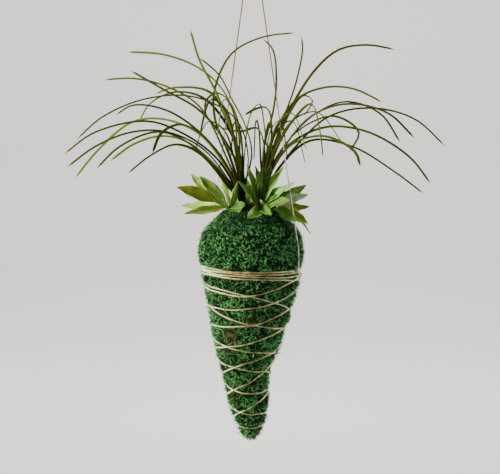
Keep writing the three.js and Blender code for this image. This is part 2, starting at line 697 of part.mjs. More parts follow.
const kokedama = new THREE.Group();
kokedama.add(named('moss_jacket', mossJacket(), 0x3f6b2c, 1));
kokedama.add(named('soil_core', soilCore(feet), 0x3a2a1e, 1));
kokedama.add(named('twine_lacing', twineLacing(), 0xc2a878, 0.9));
kokedama.add(named('anchor_knot_right', anchorKnot(KNOT_RIGHT_TURN), 0xb89c6c, 0.9));
kokedama.add(named('anchor_knot_left', anchorKnot(KNOT_LEFT_TURN), 0xb89c6c, 0.9));
kokedama.add(named('hanger_strand_left', strand(-1, STRAND_LEFT_TURN, KNOT_LEFT_TURN), 0xb89c6c, 0.9));
kokedama.add(named('hanger_strand_right', strand(1, STRAND_RIGHT_TURN, KNOT_RIGHT_TURN), 0xb89c6c, 0.9));
kokedama.add(named('hanging_loop', hangingLoop(), 0xb89c6c, 0.9));
kokedama.add(named('rush_clump_left', rushClump(LEFT_CLUMP, FILL_SEED), 0x56602a, 0.6));
kokedama.add(named('rush_clump_right', rushClump(RIGHT_CLUMP, FILL_SEED + 1), 0x4e5228, 0.6));
Object.entries(SPRIGS).forEach(([name, sprig]) => {
  kokedama.add(named(name, leafSprig(sprig), 0x6d8a2e, 0.4));
});

export default kokedama;
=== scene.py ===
"""Dresses a kokedama, a moss ball planter hung on twine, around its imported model.

The ball is a tall drop of soil in a jacket of curled moss, laced with twisted
twine. Two clumps of rushes and a collar of glossy leaves grow from its mouth.
The hanging loop bears on its hook at the origin, and +Z is up. Sizes are in
millimetres, as in the model's source, and meshes are made in metres.
"""

from __future__ import annotations

import json
import logging
import math
import random
from dataclasses import dataclass, field
from enum import Enum
from typing import Iterable, Iterator, Sequence

import bpy
import numpy as np
from bpy.types import Material, Mesh, Node, NodeSocket, NodeTree, Object
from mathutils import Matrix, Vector, noise
from numpy import ndarray as Array

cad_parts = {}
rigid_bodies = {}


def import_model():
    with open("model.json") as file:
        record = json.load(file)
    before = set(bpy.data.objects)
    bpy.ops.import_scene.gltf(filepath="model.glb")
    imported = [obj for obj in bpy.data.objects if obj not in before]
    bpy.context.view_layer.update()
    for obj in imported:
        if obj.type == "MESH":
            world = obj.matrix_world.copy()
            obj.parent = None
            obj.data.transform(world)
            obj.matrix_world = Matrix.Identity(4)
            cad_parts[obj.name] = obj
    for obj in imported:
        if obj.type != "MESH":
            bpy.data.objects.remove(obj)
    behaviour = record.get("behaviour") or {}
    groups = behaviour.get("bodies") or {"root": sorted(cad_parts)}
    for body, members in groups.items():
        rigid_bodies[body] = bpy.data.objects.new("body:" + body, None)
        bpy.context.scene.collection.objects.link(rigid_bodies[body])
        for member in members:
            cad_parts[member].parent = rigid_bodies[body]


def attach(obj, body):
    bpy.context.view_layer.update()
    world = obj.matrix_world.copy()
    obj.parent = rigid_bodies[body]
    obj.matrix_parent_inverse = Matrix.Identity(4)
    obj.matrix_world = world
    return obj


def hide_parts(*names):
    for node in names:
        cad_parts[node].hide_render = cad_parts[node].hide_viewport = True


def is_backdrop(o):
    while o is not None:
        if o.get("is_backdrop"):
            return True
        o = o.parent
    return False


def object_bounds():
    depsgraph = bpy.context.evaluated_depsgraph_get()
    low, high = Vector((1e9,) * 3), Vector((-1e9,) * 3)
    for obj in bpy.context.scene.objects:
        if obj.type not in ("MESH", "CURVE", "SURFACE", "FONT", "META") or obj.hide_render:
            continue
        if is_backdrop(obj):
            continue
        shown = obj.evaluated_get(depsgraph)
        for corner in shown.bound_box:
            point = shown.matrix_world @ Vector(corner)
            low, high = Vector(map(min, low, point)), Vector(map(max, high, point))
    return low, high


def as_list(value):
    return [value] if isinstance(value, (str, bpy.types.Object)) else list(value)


MM = 0.001
RIM_Z = -325.0
ROOT_BODY = "root"
THREE_SIDES = (90, 210, 330)

log = logging.getLogger("kokedama")


# Nodes


def pick_socket(sockets: Iterable[NodeSocket], key: int | str) -> NodeSocket:
    """Finds a socket by its place, or by its name among those in use.

    Args:
        sockets: a node's inputs or outputs.
        key: the socket's place or name.

    Returns:
        The socket.
    """
    if isinstance(key, int):
        return sockets[key]
    return next(socket for socket in sockets if socket.name == key and socket.enabled)


class Wire:
    """A node's output that takes part in Python arithmetic."""

    def __init__(self, sheet: NodeSheet, socket: NodeSocket) -> None:
        """Keeps the socket and the sheet that its nodes are added to."""
        self.sheet = sheet
        self.socket = socket

    def __add__(self, other: Wire | float) -> Wire:
        """Adds."""
        return self.sheet.maths("ADD", self, other)

    def __radd__(self, other: float) -> Wire:
        """Adds, with the number on the left."""
        return self.sheet.maths("ADD", other, self)

    def __sub__(self, other: Wire | float) -> Wire:
        """Subtracts."""
        return self.sheet.maths("SUBTRACT", self, other)

    def __rsub__(self, other: float) -> Wire:
        """Subtracts from the number on the left."""
        return self.sheet.maths("SUBTRACT", other, self)

    def __mul__(self, other: Wire | float) -> Wire:
        """Multiplies."""
        return self.sheet.maths("MULTIPLY", self, other)

    def __rmul__(self, other: float) -> Wire:
        """Multiplies, with the number on the left."""
        return self.sheet.maths("MULTIPLY", other, self)

    def __abs__(self) -> Wire:
        """Drops the sign."""
        return self.sheet.maths("ABSOLUTE", self)

    def between(self, low: float, high: float) -> Wire:
        """Rises smoothly from 0 at low to 1 at high."""
        inputs = {"Value": self, "From Min": low, "From Max": high}
        return self.sheet.wire("ShaderNodeMapRange", {"interpolation_type": "SMOOTHSTEP"}, inputs)

    def mapped(self, low: float, high: float, start: float, stop: float) -> Wire:
        """Runs evenly from start at low to stop at high, and holds them beyond."""
        inputs = {"Value": self, "From Min": low, "From Max": high, "To Min": start, "To Max": stop}
        return self.sheet.wire("ShaderNodeMapRange", inputs=inputs)


class NodeSheet:
    """Adds nodes to a tree, each with its settings and its sockets' values or links."""

    def __init__(self, tree: NodeTree) -> None:
        """Keeps the tree that nodes are added to."""
        self.tree = tree

    def add(self, kind: str, settings: dict | None = None, inputs: dict | None = None) -> Node:
        """Adds one node.

        Args:
            kind: the node's type.
            settings: properties to set first; stops fills a colour ramp.
            inputs: values or wires, by the input's name or place.

        Returns:
            The new node.
        """
        node = self.tree.nodes.new(kind)
        settings = dict(settings or {})
        stops = settings.pop("stops", ())
        for name, value in settings.items():
            setattr(node, name, value)
        for index, (place, color) in enumerate(stops):
            elements = node.color_ramp.elements
            element = elements[index] if index < len(elements) else elements.new(1.0)
            element.position = place
            element.color = (*color, 1.0)
        for key, value in (inputs or {}).items():
            socket = pick_socket(node.inputs, key)
            if isinstance(value, Wire):
                self.tree.links.new(value.socket, socket)
            else:
                socket.default_value = value
        return node

    def wire(
        self, kind: str, settings: dict | None = None, inputs: dict | None = None, output: int | str = 0
    ) -> Wire:
        """Adds a node as add does, and gives the output of this name or place."""
        return Wire(self, pick_socket(self.add(kind, settings, inputs).outputs, output))

    def maths(self, operation: str, *values: Wire | float) -> Wire:
        """Adds a Math node on these values."""
        return self.wire("ShaderNodeMath", {"operation": operation}, dict(enumerate(values)))

    def split(self, vector: Wire) -> list[Wire]:
        """Gives the three parts of a vector."""
        return [Wire(self, part) for part in self.add("ShaderNodeSeparateXYZ", inputs={0: vector}).outputs]


class ShaderSheet(NodeSheet):
    """The node sheet of one material."""

    def __init__(self, name: str) -> None:
        """Makes an empty material of this name."""
        self.material = bpy.data.materials.new(name)
        self.material.use_nodes = True
        super().__init__(self.material.node_tree)
        self.tree.nodes.clear()

    def stored(self, name: str, output: str = "Fac") -> Wire:
        """Gives an attribute of the mesh."""
        return self.wire("ShaderNodeAttribute", {"attribute_name": name}, output=output)

    def place(self, which: str = "Object") -> Wire:
        """Gives the Object coordinates, or those of another name."""
        return self.wire("ShaderNodeTexCoord", output=which)

    def point(self, x: Wire | float, y: Wire | float, z: Wire | float) -> Wire:
        """Joins three numbers into a vector."""
        return self.wire("ShaderNodeCombineXYZ", inputs={0: x, 1: y, 2: z})

    def grain(
        self, scale: float, detail: float = 3.0, roughness: float = 0.55, at: Wire | None = None
    ) -> Wire:
        """Gives a noise at the Object coordinates, or at another vector."""
        inputs = {"Vector": at or self.place(), "Scale": scale, "Detail": detail, "Roughness": roughness}
        return self.wire("ShaderNodeTexNoise", inputs=inputs)

    def ramp(self, factor: Wire, stops: Sequence[tuple]) -> Wire:
        """Turns a number into a colour."""
        return self.wire("ShaderNodeValToRGB", {"stops": stops}, {0: factor})

    def mix(self, factor: Wire | float, first: Wire | tuple, second: Wire | tuple) -> Wire:
        """Mixes two colours.

        Args:
            factor: how much of the second colour.
            first: the first colour.
            second: the second colour.

        Returns:
            The mixed colour.
        """
        colors = [color if isinstance(color, Wire) else (*color, 1.0) for color in (first, second)]
        inputs = {"Factor": factor, "A": colors[0], "B": colors[1]}
        return self.wire("ShaderNodeMix", {"data_type": "RGBA"}, inputs, "Result")

    def bumped(self, height: Wire, strength: float, distance: float) -> Wire:
        """Turns a height into a normal."""
        inputs = {"Height": height, "Strength": strength, "Distance": distance}
        return self.wire("ShaderNodeBump", inputs=inputs)

    def finished(self, **sockets: Wire | float | tuple) -> Material:
        """Ends the sheet in a Principled shader.

        Args:
            sockets: the shader's inputs, with an underscore for each space.

        Returns:
            The material.
        """
        inputs = {name.replace("_", " "): value for name, value in sockets.items()}
        shader = self.wire("ShaderNodeBsdfPrincipled", inputs=inputs)
        self.add("ShaderNodeOutputMaterial", inputs={"Surface": shader})
        return self.material


class GrowthTree(NodeSheet):
    """A Geometry Nodes tree with named inputs, which ends in Realize Instances and Set Material."""

    def __init__(self, name: str, **inputs: str) -> None:
        """Makes the tree and its inputs.

        Args:
            name: the tree's name.
            inputs: each input's socket type by its name, after the geometry.
        """
        super().__init__(bpy.data.node_groups.new(name, "GeometryNodeTree"))
        face = self.tree.interface
        face.new_socket("Geometry", in_out="INPUT", socket_type="NodeSocketGeometry")
        for label, kind in inputs.items():
            face.new_socket(label.replace("_", " "), in_out="INPUT", socket_type="NodeSocket" + kind)
        face.new_socket("Geometry", in_out="OUTPUT", socket_type="NodeSocketGeometry")
        self.group = self.add("NodeGroupInput")

    def given(self, name: str) -> Wire:
        """Gives one of the tree's inputs."""
        return Wire(self, self.group.outputs[name])

    def chance(
        self, low: Wire | float | tuple, high: Wire | float | tuple, seed: int, kind: str = "FLOAT"
    ) -> Wire:
        """Draws a seeded random value for each point.

        Args:
            low: the least value.
            high: the greatest value.
            seed: added to the tree's own Seed input.
            kind: FLOAT, INT or FLOAT_VECTOR.

        Returns:
            The value.
        """
        inputs = {"Min": low, "Max": high, "Seed": self.given("Seed") + float(seed)}
        return self.wire("FunctionNodeRandomValue", {"data_type": kind}, inputs, "Value")

    def named(
        self, geometry: Wire, name: str, value: Wire | float, kind: str = "FLOAT", domain: str = "POINT"
    ) -> Wire:
        """Stores a value on a geometry as a named attribute."""
        inputs = {"Geometry": geometry, "Name": name, "Value": value}
        return self.wire("GeometryNodeStoreNamedAttribute", {"data_type": kind, "domain": domain}, inputs)

    def scattered(self, density: float) -> tuple[Wire, Wire]:
        """Scatters points over the faces, the Spacing input apart.

        Args:
            density: the most points on a square metre.

        Returns:
            The points, and the rotation that stands each square to its face.
        """
        spread = self.add(
            "GeometryNodeDistributePointsOnFaces",
            {"distribute_method": "POISSON"},
            {
                "Mesh": self.given("Geometry"),
                "Distance Min": self.given("Spacing"),
                "Density Max": density,
                "Seed": self.given("Seed"),
            },
        )
        return Wire(self, spread.outputs["Points"]), Wire(self, spread.outputs["Rotation"])

    def turned(self, rotation: Wire, turn: Wire) -> Wire:
        """Turns a rotation about its own axes."""
        inputs = {"Rotation": rotation, "Rotate By": turn}
        return self.wire("FunctionNodeRotateRotation", {"rotation_space": "LOCAL"}, inputs)

    def planted(self, points: Wire, kinds: int, seed: int, rotation: Wire, scale: Wire) -> Wire:
        """Puts one of the Patterns input's objects on each point.

        Args:
            points: where they go.
            kinds: how many patterns there are to draw from.
            seed: sets the draw.
            rotation: how each is turned.
            scale: how large each is.

        Returns:
            The instances.
        """
        shelf = {"Collection": self.given("Patterns"), "Separate Children": True, "Reset Children": True}
        return self.wire(
            "GeometryNodeInstanceOnPoints",
            inputs={
                "Points": points,
                "Instance": self.wire("GeometryNodeCollectionInfo", inputs=shelf),
                "Pick Instance": True,
                "Instance Index": self.chance(0, kinds - 1, seed, "INT"),
                "Rotation": rotation,
                "Scale": scale,
            },
        )

    def end(self, geometry: Wire, material: Material) -> NodeTree:
        """Ends the tree.

        Args:
            geometry: the last node's output.
            material: the finish of the result.

        Returns:
            The tree.
        """
        real = self.wire("GeometryNodeRealizeInstances", inputs={"Geometry": geometry})
        dressed = self.wire("GeometryNodeSetMaterial", inputs={"Geometry": real, "Material": material})
        self.add("NodeGroupOutput", inputs={"Geometry": dressed})
        return self.tree


class Patterns:
    """Small objects that a tree plants, kept in a collection until it has run."""

    def __init__(self, name: str, meshes: Iterable[Mesh]) -> None:
        """Puts each mesh in the collection, as an object.

        Args:
            name: the collection's name.
            meshes: the meshes, in order.
        """
        self.collection = bpy.data.collections.new(name)
        bpy.context.scene.collection.children.link(self.collection)
        for mesh in meshes:
            self.collection.objects.link(bpy.data.objects.new(mesh.name, mesh))

    def put_away(self) -> None:
        """Removes the objects and their collection."""
        for pattern in list(self.collection.objects):
            bpy.data.objects.remove(pattern)
        bpy.data.collections.remove(self.collection)


# Objects


def link(mesh: Mesh, name: str) -> Object:
    """Puts a mesh in the scene as an object at the origin."""
    made = bpy.data.objects.new(name, mesh)
    bpy.context.scene.collection.objects.link(made)
    return made


def join(parts: Sequence[Object], name: str) -> Object:
    """Joins meshes into the first of them.

    Args:
        parts: the objects, all at the origin.
        name: the joined object's name.

    Returns:
        The joined object.
    """
    with bpy.context.temp_override(active_object=parts[0], selected_editable_objects=list(parts)):
        bpy.ops.object.join()
    parts[0].name = name
    return parts[0]


def grow(host: Object, tree: NodeTree, name: str, **values: float | Object | bpy.types.Collection) -> Object:
    """Runs a tree on an object and keeps the result as a plain mesh.

    Args:
        host: the object that the tree reads, which is removed.
        tree: the Geometry Nodes tree.
        name: the new object's name.
        values: the tree's inputs, with an underscore for each space.

    Returns:
        The new object.
    """
    modifier = host.modifiers.new("growth", "NODES")
    modifier.node_group = tree
    for item in tree.interface.items_tree:
        key = item.name.replace(" ", "_")
        if item.in_out == "INPUT" and key in values:
            modifier[item.identifier] = values[key]
    graph = bpy.context.evaluated_depsgraph_get()
    ready = host.evaluated_get(graph)
    mesh = bpy.data.meshes.new_from_object(ready, preserve_all_data_layers=True, depsgraph=graph)
    host.modifiers.remove(modifier)
    bpy.data.objects.remove(host)
    return link(mesh, name)


def dress(piece: Object, node: str = "", material: Material | None = None) -> Object:
    """Gives a piece its body, and where it has them its node and its material.

    Args:
        piece: the finished piece.
        node: the model's node that it replaces.
        material: its finish, unless it has one.

    Returns:
        The piece.
    """
    if material:
        piece.data.materials.append(material)
    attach(piece, ROOT_BODY)
    if node:
        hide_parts(node)
    return piece


# Meshes


def unit(vectors: Array) -> Array:
    """Scales vectors to length 1."""
    return vectors / np.maximum(np.linalg.norm(vectors, axis=-1, keepdims=True), 1e-9)


def circle(sides: int) -> Array:
    """Gives angles that go evenly round, from 0."""
    return np.linspace(0, math.tau, sides, endpoint=False)


def ring(turns: Array, out: Array | float, x: float, y: float, z: Array | float) -> Array:
    """Gives a ring of places about an upright axis.

    Args:
        turns: the angle of each place.
        out: how far out each is.
        x: the axis's place to the right.
        y: the axis's place to the back.
        z: the height of each place.

    Returns:
        The places.
    """
    spots = np.broadcast_arrays(x + out * np.cos(turns), y + out * np.sin(turns), z)
    return np.stack(spots, axis=1)


def grid(across: Array, along: Array) -> Array:
    """Gives the UV of each place on rings, from its place across and its ring's along."""
    return np.stack(np.broadcast_arrays(across[None, :], along[:, None]), axis=2)


def quilt(rings: int, sides: int) -> list[tuple[int, ...]]:
    """Lists the faces between rings of equal length.

    Args:
        rings: how many rings there are.
        sides: how many places a ring has.

    Returns:
        The faces, ring by ring.
    """
    return [
        (low + side, low + (side + 1) % sides, low + sides + (side + 1) % sides, low + sides + side)
        for low in range(0, (rings - 1) * sides, sides)
        for side in range(sides)
    ]


def cubic(start: Array, stop: Array, leaving: Array, arriving: Array, t: Array) -> Array:
    """Runs from one value to the next along a smooth curve.

    Args:
        start: the value at 0.
        stop: the value at 1.
        leaving: the slope at 0.
        arriving: the slope at 1.
        t: how far it has gone, from 0 to 1.

    Returns:
        The values at t.
    """
    return start + (stop - start) * t * t * (3 - 2 * t) + t * (1 - t) * ((1 - t) * leaving - t * arriving)


def store(mesh: Mesh, name: str, values: Array) -> None:
    """Stores a number for each vertex under a name."""
    layer = mesh.attributes.new(name, "FLOAT", "POINT")
    layer.data.foreach_set("value", values.astype(np.float32))


def bare(name: str, points: Array, faces: Sequence[tuple] = (), edges: Sequence[tuple] = ()) -> Mesh:
    """Makes a mesh of places in millimetres."""
    mesh = bpy.data.meshes.new(name)
    mesh.from_pydata((points * MM).tolist(), edges, faces)
    return mesh


def polyline(points: Array, name: str, bleach: Array | float = 0.0) -> Object:
    """Makes a row of edges.

    Args:
        points: places in millimetres.
        name: the object's name.
        bleach: how pale the twine along it is, from 0 to 1: its own paler colour, and on the lacing a painted
            highlight.

    Returns:
        The object.
    """
    mesh = bare(name, points, edges=[(index, index + 1) for index in range(len(points) - 1)])
    store(mesh, "bleach", np.full(len(points), bleach))
    return link(mesh, name)


class Clay:
    """Gathers closed skins into one mesh, with a UV and named marks for each vertex."""

    def __init__(self) -> None:
        """Starts with nothing."""
        self.points: list[Array] = []
        self.uvs: list[Array] = []
        self.marks: dict[str, list[Array]] = {}
        self.faces: list[tuple[int, ...]] = []
        self.count = 0

    def skin(self, rings: Array, ends: tuple, uvs: Array | None = None, **marks: Array | float) -> None:
        """Adds rings of equal length as one closed skin with a point at each end.

        Args:
            rings: places, ring by ring, in millimetres.
            ends: the first and last point, in millimetres.
            uvs: the UV of each place, all 0 unless given.
            marks: numbers for the skin or for each of its vertices, the same names for every skin.
        """
        total, sides = rings.shape[:2]
        size = total * sides + 2
        first, last = self.count + size - 2, self.count + size - 1
        self.points.append(np.vstack([rings.reshape(-1, 3), *ends]) * MM)
        uvs = np.zeros((total, sides, 2)) if uvs is None else uvs
        middle = uvs.mean(axis=1)
        self.uvs.append(np.vstack([uvs.reshape(-1, 2), middle[0], middle[-1]]))
        for label, values in marks.items():
            self.marks.setdefault(label, []).append(np.broadcast_to(values, size))
        for side in range(sides):
            after = (side + 1) % sides
            self.faces.append((first, self.count + after, self.count + side))
            for low in range(self.count, first - sides, sides):
                self.faces.append((low + side, low + after, low + sides + after, low + sides + side))
            self.faces.append((last, first - sides + side, first - sides + after))
        self.count += size

    def leaf(self, rings: Array, across: Array, along: Array, ends: tuple, **marks: float) -> None:
        """Adds a leaf, whose last ring narrows to its tip.

        Args:
            rings: sections from foot to tip: over the upper side and back under it.
            across: how far across the leaf each place of a section is, from 0 to 1.
            along: how far along the leaf each section is, from 0 to 1.
            ends: the foot and the tip.
            marks: the skin's marks.
        """
        self.skin(rings[:-1, ::-1], ends, grid(across, along)[:-1, ::-1], **marks)

    def shaped(self, name: str, mapped: bool = True) -> Mesh:
        """Makes the mesh.

        Args:
            name: the mesh's name.
            mapped: whether it gets its UV map.

        Returns:
            The mesh.
        """
        mesh = bpy.data.meshes.new(name)
        mesh.from_pydata(np.concatenate(self.points).tolist(), [], self.faces)
        if mapped:
            corners = np.empty(len(mesh.loops), np.int32)
            mesh.loops.foreach_get("vertex_index", corners)
            layer = mesh.uv_layers.new(name="UVMap")
            layer.data.foreach_set("uv", np.concatenate(self.uvs)[corners].ravel().astype(np.float32))
        for label, values in self.marks.items():
            store(mesh, label, np.concatenate(values))
        mesh.shade_smooth()
        mesh.update()
        return mesh

    def piece(self, name: str) -> Object:
        """Makes the mesh and puts it in the scene."""
        return link(self.shaped(name), name)


class Route:
    """A smooth curve through points, walked by its length."""

    def __init__(self, points: Sequence[Sequence[float]], steps: int = 40) -> None:
        """Fits a centripetal spline.

        Args:
            points: places in millimetres.
            steps: samples between two points.
        """
        spots = np.array(points, float)
        padded = np.vstack([2 * spots[0] - spots[1], spots, 2 * spots[-1] - spots[-2]])
        parts = [self._span(padded[i : i + 4], steps) for i in range(len(spots) - 1)]
        self.line = np.vstack([*parts, spots[-1:]])
        lengths = np.linalg.norm(np.diff(self.line, axis=0), axis=1)
        self.reach = np.concatenate([[0.0], np.cumsum(lengths)])

    @staticmethod
    def _span(four: Array, steps: int) -> Array:
        """Samples the spline between the two middle points of four.

        Args:
            four: the points.
            steps: the number of samples.

        Returns:
            The samples, without the last point.
        """
        a, b, c, d = four
        before, here, after = (math.sqrt(np.linalg.norm(q - p)) for p, q in ((a, b), (b, c), (c, d)))
        leaving = ((b - a) / before - (c - a) / (before + here) + (c - b) / here) * here
        arriving = ((c - b) / here - (d - b) / (here + after) + (d - c) / after) * here
        return cubic(b, c, leaving, arriving, np.linspace(0, 1, steps, endpoint=False)[:, None])

    def at(self, shares: Sequence[float] | Array | float) -> Array:
        """Gives the places at these shares of the length."""
        goal = np.atleast_1d(shares) * self.reach[-1]
        found = np.stack([np.interp(goal, self.reach, self.line[:, axis]) for axis in range(3)], axis=1)
        return found if np.ndim(shares) else found[0]


# Finishes


@dataclass(frozen=True)
class MossFinish:
    """Curled green moss: dark at the foot of each fibre, a painted shade deep in the pile, and pale at its
    tip, partly the moss's own colour and partly a painted highlight.
    """

    # The foot colour is painted shade deep in the pile; the tip colour is partly a painted highlight.
    foot: tuple = (0.0008, 0.005, 0.0015)
    middle: tuple = (0.004, 0.050, 0.010)
    tip: tuple = (0.14, 0.49, 0.13)
    dry: tuple = (0.23, 0.165, 0.05)
    dry_spots: tuple = ((-3.0, -43.0, -447.5), (-24.0, -34.0, -463.0))
    dry_reach: float = 14.0

    def make(self) -> Material:
        """Makes the material of the fibres.

        Returns:
            The material.
        """
        sheet = ShaderSheet("moss_fibre")
        reach, tint = sheet.stored("reach"), sheet.stored("tint")
        patch, clump = sheet.grain(55.0, 2.0), sheet.grain(300.0, 1.0)
        drift = reach * 0.85 + (tint - 0.55) * 1.15 + (patch - 0.5) * 0.9 + (clump - 0.5) * 1.2
        color = sheet.ramp(drift, [(0.38, self.foot), (0.64, self.middle), (0.95, self.tip)])
        blotch = sheet.grain(38.0, 3.0, 0.6).between(0.60, 0.72)
        dryness = [blotch * tint.between(0.35, 0.8), tint.between(0.93, 0.97) * 0.5]
        for spot in self.dry_spots:
            ends = {0: sheet.place(), 1: tuple(part * MM for part in spot)}
            away = sheet.wire("ShaderNodeVectorMath", {"operation": "DISTANCE"}, ends, "Value")
            near = (1 - away.between(0.0, self.dry_reach * MM)) * tint.between(0.35, 0.75)
            dryness.append(near * 0.85)
        for share in dryness:
            color = sheet.mix(share, color, self.dry)
        return sheet.finished(Base_Color=color, Roughness=0.8, Specular_IOR_Level=0.12)

    def make_mat(self) -> Material:
        """Makes the material of the felted layer under the fibres, darkened with the fibres' foot colour as
        painted shade under the pile.

        Returns:
            The material.
        """
        sheet = ShaderSheet("moss_felt")
        clots = sheet.grain(420.0, 5.0, 0.7)
        color = sheet.ramp(clots, [(0.3, self.foot), (0.95, self.middle)])
        relief = sheet.bumped(clots, 0.9, 0.0012)
        return sheet.finished(Base_Color=color, Roughness=0.95, Specular_IOR_Level=0.1, Normal=relief)


@dataclass(frozen=True)
class TwineFinish:
    """Natural jute: plies of fine fibres, golden, with darker flecks and paler lengths. A stored mark makes
    it paler still: the knots' pale colour, the strands' lower lengths and a painted highlight on the lacing's
    sides.
    """

    name: str = "jute_twine"
    chalk: tuple = (0.95, 0.93, 0.66)
    pale: tuple = (0.84, 0.75, 0.39)
    golden: tuple = (0.50, 0.35, 0.125)
    dark: tuple = (0.12, 0.07, 0.025)

    def make(self) -> Material:
        """Makes the material.

        Returns:
            The material.
        """
        sheet = ShaderSheet(self.name)
        right, up, _ = sheet.split(sheet.stored("lay", "Vector"))
        plies = sheet.point(right * 3.4, up * 3.4, sheet.stored("along") * 160.0)
        fibres, lengths = sheet.grain(2.2, 4.0, 0.65, plies), sheet.grain(95.0, 2.0)
        # The stored mark lifts the tone towards chalk: the knots' own pale colour, and on the lacing's sides
        # a painted highlight.
        shade = (fibres - 0.5) * 1.3 + (lengths - 0.5) * 0.8 + sheet.stored("bleach") * 0.38 + 0.42
        stops = [(0.22, self.dark), (0.44, self.golden), (0.66, self.pale), (0.92, self.chalk)]
        color = sheet.mix(sheet.stored("fuzz") * 0.5, sheet.ramp(shade, stops), self.pale)
        return sheet.finished(Base_Color=color, Roughness=0.82, Normal=sheet.bumped(fibres, 0.7, 0.0004))


@dataclass(frozen=True)
class RushFinish:
    """Narrow satin leaves: reddish brown at the foot, olive above, paler at the tip; the foot and stem are
    darkened further as painted shade among the crowded bases.
    """

    # foot and stem: their own reddish brown and olive, darkened as painted shade at the clump's base.
    foot: tuple = (0.016, 0.003, 0.001)
    stem: tuple = (0.012, 0.017, 0.002)
    blade: tuple = (0.031, 0.050, 0.004)
    tip: tuple = (0.076, 0.090, 0.013)
    fresh: tuple = (0.095, 0.185, 0.028)
    aged: tuple = (0.034, 0.022, 0.004)
    fleck: tuple = (0.085, 0.105, 0.02)

    def make(self) -> Material:
        """Makes the material.

        Returns:
            The material.
        """
        sheet = ShaderSheet("rush_leaf")
        across, along, _ = sheet.split(sheet.place("UV"))
        tone = sheet.stored("tone")
        veins = sheet.grain(1.0, 3.0, at=sheet.point(across * 22.0, along * 1.5, tone * 9.0))
        blotch = sheet.grain(1.0, 2.0, at=sheet.point(across, along * 14.0, tone * 31.0))
        stops = [(0.05, self.foot), (0.21, self.stem), (0.50, self.blade), (0.97, self.tip)]
        color = sheet.ramp(along, stops)
        for share, other in (
            (tone.between(0.6, 1.0) * along.between(0.05, 0.35) * 0.8, self.fresh),
            ((1 - tone).between(0.55, 1.0) * (0.85 - along * 0.5), self.aged),
            (blotch.between(0.45, 0.7) * 0.25, self.fleck),
            (veins.between(0.4, 0.8) * 0.3, self.fleck),
        ):
            color = sheet.mix(share, color, other)
        relief = sheet.bumped(veins, 0.35, 0.0003)
        return sheet.finished(
            Base_Color=color, Roughness=0.62 + veins * 0.2, Specular_IOR_Level=0.0, Normal=relief
        )


@dataclass(frozen=True)
class LeafFinish:
    """Waxy broad leaves: dark olive to yellow green, with a pale midrib and side veins; the palest tones run
    on into a whitish painted gloss highlight.
    """

    cool: tuple = ((0.010, 0.030, 0.002), (0.045, 0.205, 0.014), (0.20, 0.49, 0.055))
    warm: tuple = ((0.026, 0.036, 0.002), (0.170, 0.185, 0.008), (0.38, 0.46, 0.02))
    # A whitish painted gloss highlight, reached by the palest leaf tones.
    painted_gloss: tuple = (0.60, 0.76, 0.58)
    rib: tuple = (0.42, 0.56, 0.12)
    blush: tuple = (0.20, 0.11, 0.035)
    stops: tuple = (0.08, 0.38, 0.68, 0.96)

    def make(self) -> Material:
        """Makes the material.

        Returns:
            The material.
        """
        sheet = ShaderSheet("waxy_leaf")
        across, along, _ = sheet.split(sheet.place("UV"))
        tone = sheet.stored("tone")
        off_rib = abs(across - 0.5) * 2.0
        mottle, broad = sheet.grain(190.0), sheet.grain(60.0, 2.0)
        shade = tone + (mottle - 0.5) * 0.22 + (broad - 0.5) * 0.35
        cool, warm = (
            sheet.ramp(shade * 0.75, list(zip(self.stops, (*greens, self.painted_gloss))))
            for greens in (self.cool, self.warm)
        )
        color = sheet.mix(sheet.stored("warmth"), cool, warm)
        side_vein = sheet.maths("SINE", (along * 30.0 - off_rib * 4.5) * math.pi).between(0.86, 1.0)
        midrib = 1 - off_rib.between(0.03, 0.10)
        # The pale band along each leaf's edge is a painted rim highlight, stronger on paler leaves.
        edge = off_rib.between(0.84, 0.97)
        for share, other in (
            (side_vein * (0.04 + tone * 0.2), self.rib),
            (midrib * (0.03 + tone * 0.6), self.rib),
            (broad.between(0.58, 0.72) * tone.between(0.15, 0.45) * 0.4, self.blush),
            (edge * (0.04 + tone * 0.75), self.rib),
        ):
            color = sheet.mix(share, color, other)
        relief = mottle * 0.35 - midrib * 0.8 - side_vein * 0.35
        return sheet.finished(
            Base_Color=color,
            Roughness=0.34 + mottle * 0.22,
            Specular_IOR_Level=0.04 + tone * 0.26,
            Coat_Weight=shade.between(0.45, 0.8) * 0.4,
            Coat_Roughness=0.16,
            Subsurface_Weight=0.08,
            Subsurface_Scale=0.002,
            Normal=sheet.bumped(relief, 0.5, 0.0005),
        )


@dataclass(frozen=True)
class SoilFinish:
    """Damp dark potting soil with a few paler crumbs."""

    wet: tuple = (0.012, 0.007, 0.004)
    crumb: tuple = (0.060, 0.036, 0.020)
    bark: tuple = (0.16, 0.095, 0.05)

    def make(self) -> Material:
        """Makes the material.

        Returns:
            The material.
        """
        sheet = ShaderSheet("potting_soil")
        clots = sheet.grain(520.0, 6.0, 0.7)
        ground = sheet.ramp(clots, [(0.3, self.wet), (0.7, self.crumb)])
        color = sheet.mix(sheet.stored("tint").between(0.75, 1.0), ground, self.bark)
        return sheet.finished(Base_Color=color, Roughness=0.9, Normal=sheet.bumped(clots, 0.9, 0.0008))


@dataclass(frozen=True)
class StageFinish:
    """The plain pale floor and its coved edge."""

    color: tuple = (0.82, 0.81, 0.775, 1.0)

    def make(self) -> Material:
        """Makes the material."""
        return ShaderSheet("pale_stage").finished(Base_Color=self.color, Roughness=0.9)


# The form of the ball


